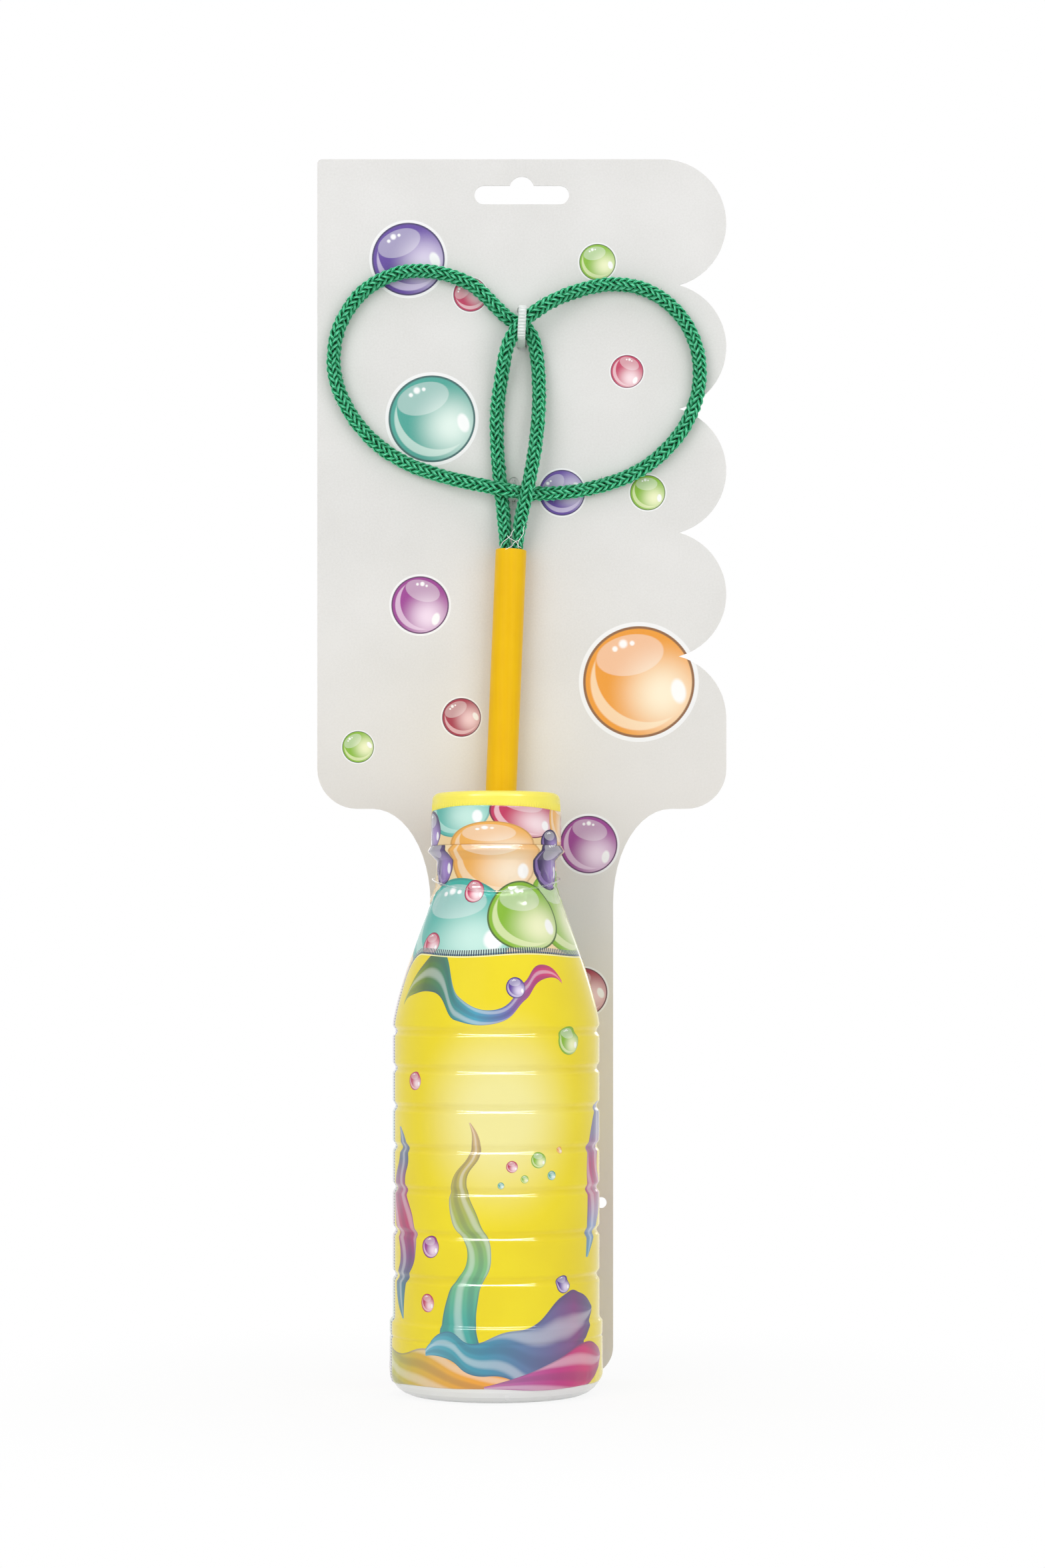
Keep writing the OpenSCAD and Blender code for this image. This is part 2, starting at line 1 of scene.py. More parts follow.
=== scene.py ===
"""Dresses the bubble wand, the card that it hangs on and its bottle of bubble liquid.

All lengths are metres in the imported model's frame: +Z is up, the front faces -Y, and the origin is the
centre of the bottle's standing ring.
"""
import logging
import math
from dataclasses import dataclass, field
from enum import Enum
from typing import Iterable, Optional, Sequence

import bpy
import numpy as np
from mathutils import Matrix, Vector, noise


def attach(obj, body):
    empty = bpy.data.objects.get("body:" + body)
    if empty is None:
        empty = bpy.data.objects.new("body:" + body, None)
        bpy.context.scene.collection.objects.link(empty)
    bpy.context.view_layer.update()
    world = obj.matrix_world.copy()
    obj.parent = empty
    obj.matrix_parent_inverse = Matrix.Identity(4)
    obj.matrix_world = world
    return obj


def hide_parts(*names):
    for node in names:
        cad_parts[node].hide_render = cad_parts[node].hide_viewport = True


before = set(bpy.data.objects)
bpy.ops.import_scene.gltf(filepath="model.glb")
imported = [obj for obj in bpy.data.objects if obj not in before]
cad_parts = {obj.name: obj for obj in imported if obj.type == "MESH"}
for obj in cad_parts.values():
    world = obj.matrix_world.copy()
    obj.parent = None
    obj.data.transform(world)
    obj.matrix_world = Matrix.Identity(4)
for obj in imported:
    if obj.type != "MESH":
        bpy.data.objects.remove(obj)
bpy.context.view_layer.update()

MM = 0.001
LOG = logging.getLogger("bubble_wand")

Socket = bpy.types.NodeSocket
Colour = tuple[float, float, float, float]
Point2 = tuple[float, float]
Point3 = tuple[float, float, float]

WHITE: Colour = (1.0, 1.0, 1.0, 1.0)

# Route of the rope's centre line, in millimetres from the middle of the tube's mouth, as the source has it
ROPE_ROUTE = [
    (-2.85, 0, -19.2), (-2.05, 0, 0), (-2.4, 1.5, 11), (-3.6, 3, 22), (-4.7, 3, 35), (-4.6, 2.7, 48),
    (-3, 0.9, 60), (-0.8, -1.3, 69.4), (3.8, -1.9, 76.2), (11.6, -1.3, 82.2), (22.2, 1.5, 87.4),
    (34.6, 3, 90), (46.6, 3, 87.6), (56.6, 3, 80), (62.4, 3, 69.4), (63.6, 3, 57), (60, 3, 44.6),
    (52.2, 3, 34), (41.6, 3, 26.2), (29.6, 3, 21.8), (17.2, 3, 19.6), (6.6, 3, 19.4), (1.2, 0.8, 19.7),
    (-4, -1.7, 20.4), (-12.4, -0.5, 22.2), (-23.4, 2.5, 25.2), (-35.4, 3, 29.6), (-46.4, 3, 37),
    (-54.8, 3, 47.4), (-59.6, 3, 60), (-58.4, 3, 74.4), (-50.4, 3, 87), (-38.4, 3, 93.6), (-25.4, 3, 94),
    (-12.8, 3, 89.4), (-1.8, 3, 79.2), (6.5, 3, 73.4), (9, 2.5, 62.6), (9.4, 1.1, 49), (8.2, -1, 35),
    (5.8, -1.8, 21.4), (3.3, -0.9, 10.4), (2.05, 0, 0), (1.25, 0, -19.2)]
TUBE_MOUTH = (4.8 * MM, 29.7 * MM, 280 * MM)
CARD_FRONT_Y = 35.3 * MM
CARD_BACK_Y = 35.9 * MM

# Route of the clear line round the neck, in millimetres from the support ring's height
LINE_ROUTE = [
    (-6.6, 35, -6.1), (-12.9, 21.6, -6.6), (-18.9, 8.6, -7.2), (-20.8, -0.6, -8.2), (-19, -8.9, -9.6),
    (-14, -16.2, -11.2), (-7.3, -20.2, -12.2), (0, -21.6, -12.6), (7.3, -20.2, -12.2), (14, -16.2, -11.2),
    (19, -8.9, -9.6), (20.8, -0.6, -8.2), (18.9, 8.6, -7.2), (12.9, 21.6, -6.6), (6.6, 35, -6.1)]
SUPPORT_RING_Z = 176.6 * MM


def rgb(code: str) -> Colour:
    """Turn a written screen colour into the linear colour that a shader takes.

    Args:
        code: six hexadecimal digits, two for each of red, green and blue.

    Returns:
        Linear red, green and blue with an alpha of 1.
    """
    shown = [int(code[i:i + 2], 16) / 255 for i in (0, 2, 4)]
    linear = [c / 12.92 if c <= 0.04045 else ((c + 0.055) / 1.055) ** 2.4 for c in shown]
    return (linear[0], linear[1], linear[2], 1.0)


class Tint(Enum):
    """Deep and pale colour of a printed bubble."""

    VIOLET = ("5B3A9B", "E4D9F2")
    INDIGO = ("2E1454", "A283CC")
    TEAL = ("3FA294", "E3F4EC")
    AQUA = ("3FB3A6", "C9EFE4")
    LIME = ("86B92B", "F2F6C8")
    ROSE = ("C2325C", "FBE1E6")
    MAGENTA = ("9A3390", "F3DDF0")
    AMBER = ("EE9A1C", "FFF0D2")
    PEACH = ("F0B052", "FCE8CC")
    CRIMSON = ("A3243F", "F6D5DA")

    @property
    def deep(self) -> Colour:
        """Colour of the bubble's shaded side."""
        return rgb(self.value[0])

    @property
    def pale(self) -> Colour:
        """Colour of the bubble's lit side."""
        return rgb(self.value[1])


class NodeBuilder:
    """Adds nodes to one tree and links them."""

    def __init__(self, tree: bpy.types.NodeTree) -> None:
        """Work on a tree that may already hold nodes."""
        self.tree = tree

    def add(self, kind: str, **settings: object) -> bpy.types.Node:
        """Add a node.

        Args:
            kind: Blender's name for the node type.
            settings: properties to set on it.

        Returns:
            The new node.
        """
        node = self.tree.nodes.new(kind)
        for name, value in settings.items():
            setattr(node, name, value)
        return node

    def feed(self, socket: Socket, value: object) -> None:
        """Link a socket to another, or set its plain value.

        Args:
            socket: the socket to feed.
            value: the other socket or the plain value.
        """
        if isinstance(value, bpy.types.NodeSocket):
            self.tree.links.new(value, socket)
        else:
            socket.default_value = value

    def feed_all(self, node: bpy.types.Node, feeds: dict[str, object]) -> bpy.types.Node:
        """Feed the named sockets of a node, and return the node."""
        for label, value in feeds.items():
            self.feed(node.inputs[label], value)
        return node

    def node(self, kind: str, feeds: dict[str, object], **settings: object) -> bpy.types.Node:
        """Add a node and feed its named sockets."""
        return self.feed_all(self.add(kind, **settings), feeds)

    def math(self, operation: str, a: object, b: object = None, c: object = None) -> Socket:
        """Combine numbers.

        Args:
            operation: Blender's name for the sum.
            a: first number or socket.
            b: second number or socket, if the sum has one.
            c: third number or socket, if the sum has one.

        Returns:
            The result's socket.
        """
        node = self.add("ShaderNodeMath", operation=operation)
        for socket, value in zip(node.inputs, (a, b, c)):
            if value is not None:
                self.feed(socket, value)
        return node.outputs[0]

    def times(self, a: object, b: object) -> Socket:
        """Product of two numbers."""
        return self.math("MULTIPLY", a, b)

    def vector(self, operation: str, a: object, b: object = None) -> Socket:
        """Combine vectors.

        Args:
            operation: Blender's name for the sum.
            a: first vector or socket.
            b: second vector or socket, if the sum has one.

        Returns:
            The socket of the number or vector that results.
        """
        node = self.add("ShaderNodeVectorMath", operation=operation)
        self.feed(node.inputs[0], a)
        if b is not None:
            self.feed(node.inputs[1], b)
        return node.outputs["Value" if operation in ("LENGTH", "DISTANCE", "DOT_PRODUCT") else "Vector"]

    def mix(self, share: object, a: object, b: object, blend: str = "MIX") -> Socket:
        """Mix two colours by a share.

        Args:
            share: 0 gives the first colour and 1 the second.
            a: first colour or socket.
            b: second colour or socket.
            blend: Blender's name for the way to mix.

        Returns:
            The mixed colour's socket.
        """
        node = self.node("ShaderNodeMix", {"Factor": share}, data_type="RGBA", blend_type=blend)
        self.feed(node.inputs[6], a)
        self.feed(node.inputs[7], b)
        return node.outputs[2]

    def step(self, value: object, start: float, end: float) -> Socket:
        """Rise smoothly from 0 to 1.

        Args:
            value: number or socket to judge.
            start: value that gives 0.
            end: value that gives 1, smaller than the start for a step that falls.

        Returns:
            The step's socket.
        """
        first, last = (0.0, 1.0) if start < end else (1.0, 0.0)
        feeds = {"Value": value, "From Min": min(start, end), "From Max": max(start, end),
                 "To Min": first, "To Max": last}
        return self.node("ShaderNodeMapRange", feeds, interpolation_type="SMOOTHSTEP").outputs["Result"]

    def spread(self, value: object, low: float, high: float, out_low: float, out_high: float) -> Socket:
        """Map one range evenly on another one.

        Args:
            value: number or socket to map.
            low: start of the given range.
            high: end of the given range.
            out_low: start of the result's range.
            out_high: end of the result's range.

        Returns:
            The result's socket.
        """
        feeds = {"Value": value, "From Min": low, "From Max": high, "To Min": out_low, "To Max": out_high}
        return self.node("ShaderNodeMapRange", feeds, clamp=True).outputs["Result"]

    def ramp(self, share: object, stops: Sequence[tuple[float, Colour]]) -> Socket:
        """Colour along a ramp.

        Args:
            share: place on the ramp, from 0 to 1.
            stops: place and colour of each stop, in order.

        Returns:
            The colour's socket.
        """
        node = self.node("ShaderNodeValToRGB", {"Fac": share})
        elements = node.color_ramp.elements
        while len(elements) < len(stops):
            elements.new(1.0)
        for element, (place, colour) in zip(elements, stops):
            element.position = place
            element.color = colour
        return node.outputs["Color"]

    def curve(self, share: object, points: Sequence[Point2]) -> Socket:
        """Height of a drawn curve.

        Args:
            share: place along the curve, from 0 to 1.
            points: place and height of each point that the curve runs through.

        Returns:
            The height's socket.
        """
        node = self.node("ShaderNodeFloatCurve", {"Value": share})
        line = node.mapping.curves[0]
        while len(line.points) < len(points):
            line.points.new(1.0, 1.0)
        for point, place in zip(line.points, points):
            point.location = place
        node.mapping.update()
        return node.outputs["Value"]

    def noise(self, place: object, scale: float, detail: float = 2.0, roughness: float = 0.5) -> Socket:
        """Fractal noise between 0 and 1.

        Args:
            place: vector to read the noise at.
            scale: number of lumps in a metre.
            detail: number of finer layers.
            roughness: share of the finer layers.

        Returns:
            The noise's socket.
        """
        feeds = {"Vector": place, "Scale": scale, "Detail": detail, "Roughness": roughness}
        return self.node("ShaderNodeTexNoise", feeds).outputs["Fac"]

    def place(self) -> Socket:
        """Object coordinates of the shaded point."""
        return self.add("ShaderNodeTexCoord").outputs["Object"]

    def split(self, vector: object) -> tuple[Socket, Socket, Socket]:
        """The three parts of a vector."""
        node = self.add("ShaderNodeSeparateXYZ")
        self.feed(node.inputs[0], vector)
        return node.outputs[0], node.outputs[1], node.outputs[2]

    def join(self, x: object, y: object, z: object = 0.0) -> Socket:
        """A vector made of three numbers.

        Args:
            x: first number or socket.
            y: second number or socket.
            z: third number or socket.

        Returns:
            The vector's socket.
        """
        node = self.add("ShaderNodeCombineXYZ")
        for socket, value in zip(node.inputs, (x, y, z)):
            self.feed(socket, value)
        return node.outputs[0]

    def bump(self, height: object, strength: float, distance: float,
             under: Optional[Socket] = None) -> Socket:
        """Normal of a surface with fine relief.

        Args:
            height: height from 0 to 1.
            strength: how much of the relief shows.
            distance: height in metres that 1 stands for.
            under: normal of a coarser relief to add to.

        Returns:
            The normal's socket.
        """
        feeds = {"Strength": strength, "Distance": distance, "Height": height}
        if under is not None:
            feeds["Normal"] = under
        return self.node("ShaderNodeBump", feeds).outputs["Normal"]

    def backdrop_share(self) -> Socket:
        """1 for what the camera, gloss or clear plastic sees, and 0 for the light that falls on things."""
        path = self.add("ShaderNodeLightPath").outputs
        through = self.math("MAXIMUM", path["Is Glossy Ray"], path["Is Transmission Ray"])
        return self.math("MAXIMUM", path["Is Camera Ray"], through)


def new_material(name: str, **shader: object) -> tuple[bpy.types.Material, NodeBuilder, bpy.types.Node]:
    """Make a material with one principled shader.

    Args:
        name: name of the material.
        shader: plain values for the shader's sockets, with spaces written as underscores.

    Returns:
        The material, a builder on its tree and the shader node.
    """
    material = bpy.data.materials.new(name)
    material.use_nodes = True
    tree = material.node_tree
    tree.nodes.clear()
    builder = NodeBuilder(tree)
    surface = builder.add("ShaderNodeBsdfPrincipled")
    output = builder.add("ShaderNodeOutputMaterial")
    tree.links.new(surface.outputs[0], output.inputs["Surface"])
    for key, value in shader.items():
        surface.inputs[key.replace("_", " ")].default_value = value
    return material, builder, surface


@dataclass(frozen=True)
class PrintedBubble:
    """A soap bubble in the print, by its middle and half sizes, with or without a dark edge and a margin."""

    x: float
    z: float
    half_w: float
    half_h: float
    tint: Tint
    turn: float = 0.0
    edged: bool = True
    margin: float = 0.0


class BubblePrint:
    """The node group that draws one glossy bubble over a colour."""

    NAME = "printed_bubble"
    INPUTS = {"Place": "Vector", "Deep": "Color", "Pale": "Color", "Under": "Color", "Edge": "Float",
              "Margin": "Float"}
    GLINTS = ((-0.3, 0.66, 0.045), (-0.14, 0.72, 0.07), (0.02, 0.7, 0.04))
    LIT_PLACE = (0.38, -0.3, 0.0)
    LENS_SHIFT = (0.06, -0.5, 0.0)
    LENS_SCALE = (1.6, 2.7, 1.0)
    HOLLOW_PLACE = (0.22, 0.2, 0.0)
    SPARKLE_SHIFT = (-0.66, 0.3, 0.0)
    SPARKLE_SCALE = (7.0, 4.2, 1.0)
    OUTLINE: Colour = (0.02, 0.02, 0.04, 1.0)
    PAPER: Colour = (0.9, 0.9, 0.9, 1.0)
    FAINT_EDGE = 0.35

    @classmethod
    def group(cls) -> bpy.types.NodeTree:
        """Build the group once.

        Returns:
            The group's tree.
        """
        if cls.NAME in bpy.data.node_groups:
            return bpy.data.node_groups[cls.NAME]
        tree = bpy.data.node_groups.new(cls.NAME, "ShaderNodeTree")
        for name, kind in cls.INPUTS.items():
            tree.interface.new_socket(name, in_out="INPUT", socket_type=f"NodeSocket{kind}")
        tree.interface.new_socket("Colour", in_out="OUTPUT", socket_type="NodeSocketColor")
        builder = NodeBuilder(tree)
        given = builder.add("NodeGroupInput").outputs
        place = given["Place"]
        reach = builder.vector("LENGTH", place)
        away = builder.vector("DISTANCE", place, cls.LIT_PLACE)
        body = builder.mix(builder.step(away, 0.05, 1.05), given["Pale"], given["Deep"])
        lens = cls.oval(builder, place, cls.LENS_SHIFT, cls.LENS_SCALE)
        body = builder.mix(builder.times(builder.step(lens, 1.0, 0.94), 0.3), body, WHITE)
        hollow = builder.vector("DISTANCE", place, cls.HOLLOW_PLACE)
        crescent = builder.times(builder.step(hollow, 0.94, 0.97), builder.step(reach, 0.88, 0.84))
        body = builder.mix(builder.times(crescent, 0.62), body, given["Pale"])
        sparkle = builder.step(cls.oval(builder, place, cls.SPARKLE_SHIFT, cls.SPARKLE_SCALE), 1.1, 0.7)
        for x, y, size in cls.GLINTS:
            dot = builder.step(builder.vector("DISTANCE", place, (x, y, 0.0)), size * 1.5, size * 0.6)
            sparkle = builder.math("MAXIMUM", sparkle, dot)
        body = builder.mix(builder.times(sparkle, 0.92), body, WHITE)
        dark = builder.mix(0.72, given["Deep"], cls.OUTLINE)
        rim = builder.times(builder.step(reach, 0.935, 0.96), given["Edge"])
        body = builder.mix(rim, body, dark)
        margin = builder.times(builder.step(reach, 1.075, 1.06), given["Margin"])
        under = builder.mix(margin, given["Under"], cls.PAPER)
        result = builder.mix(builder.step(reach, 1.0, 0.985), under, body)
        builder.feed(builder.add("NodeGroupOutput").inputs["Colour"], result)
        return tree

    @staticmethod
    def oval(builder: NodeBuilder, place: Socket, shift: Point3, scale: Point3) -> Socket:
        """Distance from the middle of an oval spot, where its edge is 1."""
        moved = builder.vector("ADD", place, shift)
        return builder.vector("LENGTH", builder.vector("MULTIPLY", moved, scale))

    @classmethod
    def draw(cls, builder: NodeBuilder, place: Socket, under: object, bubble: PrintedBubble) -> Socket:
        """Draw a bubble over a colour.

        Args:
            builder: builder on the material's tree.
            place: place on the printed surface, in the bubble's own units.
            under: colour below the bubble.
            bubble: the bubble to draw.

        Returns:
            The colour with the bubble on it.
        """
        mapping = builder.node("ShaderNodeMapping", {
            "Vector": place, "Location": (bubble.x, bubble.z, 0.0), "Rotation": (0.0, 0.0, bubble.turn),
            "Scale": (bubble.half_w, bubble.half_h, 1.0)}, vector_type="TEXTURE")
        group = builder.node("ShaderNodeGroup", {
            "Place": mapping.outputs["Vector"], "Deep": bubble.tint.deep, "Pale": bubble.tint.pale,
            "Edge": 1.0 if bubble.edged else cls.FAINT_EDGE, "Margin": bubble.margin, "Under": under},
            node_tree=cls.group())
        return group.outputs["Colour"]


@dataclass(frozen=True)
class RopeCotton:
    """Braided cotton in a mid green and fuzzy on top, with painted shade between and under its strands and
    painted highlight on their tops.
    """

    # colours of the painted shade in the gaps, of the strands' body and of the painted highlight on their
    # tops
    shade: str = "001C10"
    body: str = "009C5A"
    painted_highlight: str = "86FFCE"
    yarn_pitch: float = 1.5
    plies: float = 6.0
    lint_scale: float = 2600.0
    relief: float = 0.16 * MM

    def make(self) -> bpy.types.Material:
        """Build the material, which reads the strands' own lengthwise and crosswise coordinates and paints
        shade and light by how far each point lies on top.

        Returns:
            The material.
        """
        material, builder, surface = new_material("rope_cotton", Roughness=0.92, Specular_IOR_Level=0.05,
                                                  Sheen_Weight=0.08, Sheen_Roughness=0.5)
        along, across, _ = builder.split(builder.add("ShaderNodeUVMap", uv_map="strand").outputs["UV"])
        twist = builder.math("ADD", builder.times(along, math.tau / self.yarn_pitch),
                             builder.times(across, math.tau * self.plies))
        yarn = builder.math("MULTIPLY_ADD", builder.math("SINE", twist), 0.5, 0.5)
        place = builder.place()
        lint = builder.noise(place, self.lint_scale, 3, 0.7)
        lift = builder.add("ShaderNodeAttribute", attribute_name="lift").outputs["Fac"]
        height = builder.math("MULTIPLY_ADD", yarn, 0.5, builder.times(lint, 0.5))
        # painted shade and light: how far a point lies on top, plus the ply ridges and lint, picks the colour
        # from gap shade to top highlight
        light = builder.math("MULTIPLY_ADD", lift, 0.75, builder.math("MULTIPLY_ADD", height, 0.5, -0.17))
        colour = builder.ramp(light, [(0.42, rgb(self.shade)), (0.68, rgb(self.body)), (0.97, rgb(self.painted_highlight))])
        builder.feed_all(surface, {"Base Color": colour, "Normal": builder.bump(height, 1.0, self.relief)})
        return material


@dataclass(frozen=True)
class SatinPlastic:
    """Moulded or drawn plastic with a satin skin, a fine grain and faint flow lines along one direction."""

    name: str
    colour: str
    deep: str
    roughness: float = 0.36
    lines: Point3 = (900.0, 900.0, 20.0)
    glow: float = 0.08
    glow_depth: float = 2 * MM
    glow_reach: Point3 = (1.0, 0.7, 0.3)
    shine: float = 0.45
    cloud_scale: float = 90.0
    grain_scale: float = 5200.0

    def make(self) -> bpy.types.Material:
        """Build the material.

        Returns:
            The material.
        """
        material, builder, surface = new_material(
            self.name, Subsurface_Weight=self.glow, Subsurface_Scale=self.glow_depth,
            Subsurface_Radius=self.glow_reach, Specular_IOR_Level=self.shine)
        place = builder.place()
        flow = builder.noise(builder.vector("MULTIPLY", place, self.lines), 1.0, 3, 0.6)
        cloud = builder.noise(place, self.cloud_scale, 2, 0.5)
        share = builder.math("ADD", builder.times(flow, 0.5), builder.times(cloud, 0.5))
        tone = builder.ramp(share, [(0.3, rgb(self.deep)), (0.62, rgb(self.colour))])
        grain = builder.noise(place, self.grain_scale, 2, 0.6)
        rough = builder.spread(grain, 0.3, 0.7, self.roughness - 0.05, self.roughness + 0.08)
        coarse = builder.bump(flow, 0.25, 0.05 * MM)
        relief = builder.bump(grain, 0.18, 0.02 * MM, coarse)
        builder.feed_all(surface, {"Base Color": tone, "Roughness": rough, "Normal": relief})
        return material


@dataclass(frozen=True)
class ClearPlastic:
    """Clear moulded plastic or film, with soft flow marks in it."""

    name: str
    colour: str
    roughness: float = 0.08
    clearness: float = 0.85
    ior: float = 1.5
    relief: float = 0.05 * MM
    grain: float = 320.0
    streak: Colour = (0.97, 0.98, 0.98, 1.0)

    def make(self) -> bpy.types.Material:
        """Build the material.

        Returns:
            The material.
        """
        material, builder, surface = new_material(self.name, Transmission_Weight=self.clearness, IOR=self.ior)
        place = builder.place()
        flow = builder.noise(builder.vector("MULTIPLY", place, (1.0, 1.0, 0.25)), self.grain, 3, 0.55)
        tone = builder.ramp(flow, [(0.2, rgb(self.colour)), (0.8, self.streak)])
        rough = builder.spread(flow, 0.2, 0.8, self.roughness, self.roughness + 0.1)
        relief = builder.bump(flow, 0.4, self.relief)
        builder.feed_all(surface, {"Base Color": tone, "Roughness": rough, "Normal": relief})
        return material


@dataclass(frozen=True)
class PrintedBoard:
    """Matt coated board, printed with bubbles on its front and bare on its back, with a painted warm shade
    that grows towards its foot near the bottle.
    """

    face: str = "E5E4E2"
    fibre: str = "DAD9D6"
    # colour of the painted warm shade, which deepens towards the card's foot by the bottle
    foot: str = "E4DFD8"
    fibre_scale: float = 1500.0
    cloud_scale: float = 26.0
    painted_shade_start: float = 300 * MM
    painted_shade_end: float = 80 * MM
    print_depth: float = 0.05 * MM
    bubbles: tuple[PrintedBubble, ...] = ()

    def make(self) -> bpy.types.Material:
        """Build the material, whose print lies by place on the card.

        Returns:
            The material.
        """
        material, builder, surface = new_material("printed_board", Specular_IOR_Level=0.35)
        place = builder.place()
        x, y, z = builder.split(place)
        speck = builder.noise(place, self.fibre_scale, 4, 0.65)
        cloud = builder.noise(place, self.cloud_scale, 3, 0.5)
        share = builder.math("ADD", builder.times(speck, 0.45), builder.times(cloud, 0.55))
        paper = builder.ramp(share, [(0.3, rgb(self.fibre)), (0.6, rgb(self.face))])
        # painted warm shade: the board turns darker and warmer towards its foot
        paper = builder.mix(builder.step(z, self.painted_shade_start, self.painted_shade_end), paper, rgb(self.foot))
        flat = builder.join(x, z)
        ink = paper
        for bubble in self.bubbles:
            ink = BubblePrint.draw(builder, flat, ink, bubble)
        ink = builder.mix(builder.times(speck, 0.06), ink, WHITE)
        edge = CARD_FRONT_Y + self.print_depth
        front = builder.step(y, edge + 0.01 * MM, edge - 0.01 * MM)
        colour = builder.mix(front, paper, ink)
        rough = builder.spread(speck, 0.3, 0.7, 0.42, 0.6)
        coarse = builder.bump(cloud, 0.2, 0.25 * MM)
        relief = builder.bump(speck, 0.22, 0.03 * MM, coarse)
        builder.feed_all(surface, {"Base Color": colour, "Roughness": rough, "Normal": relief})
        return material


@dataclass(frozen=True)
class Splash:
    """A printed ribbon of liquid, which runs round the bottle, or up it where it is upright.

    The middle and half thickness are curves drawn over the ribbon's length, in shares of its box.
    """

    start: float
    end: float
    low: float
    high: float
    middle: tuple[Point2, ...]
    thickness: tuple[Point2, ...]
    colours: tuple[str, ...]
    upright: bool = False


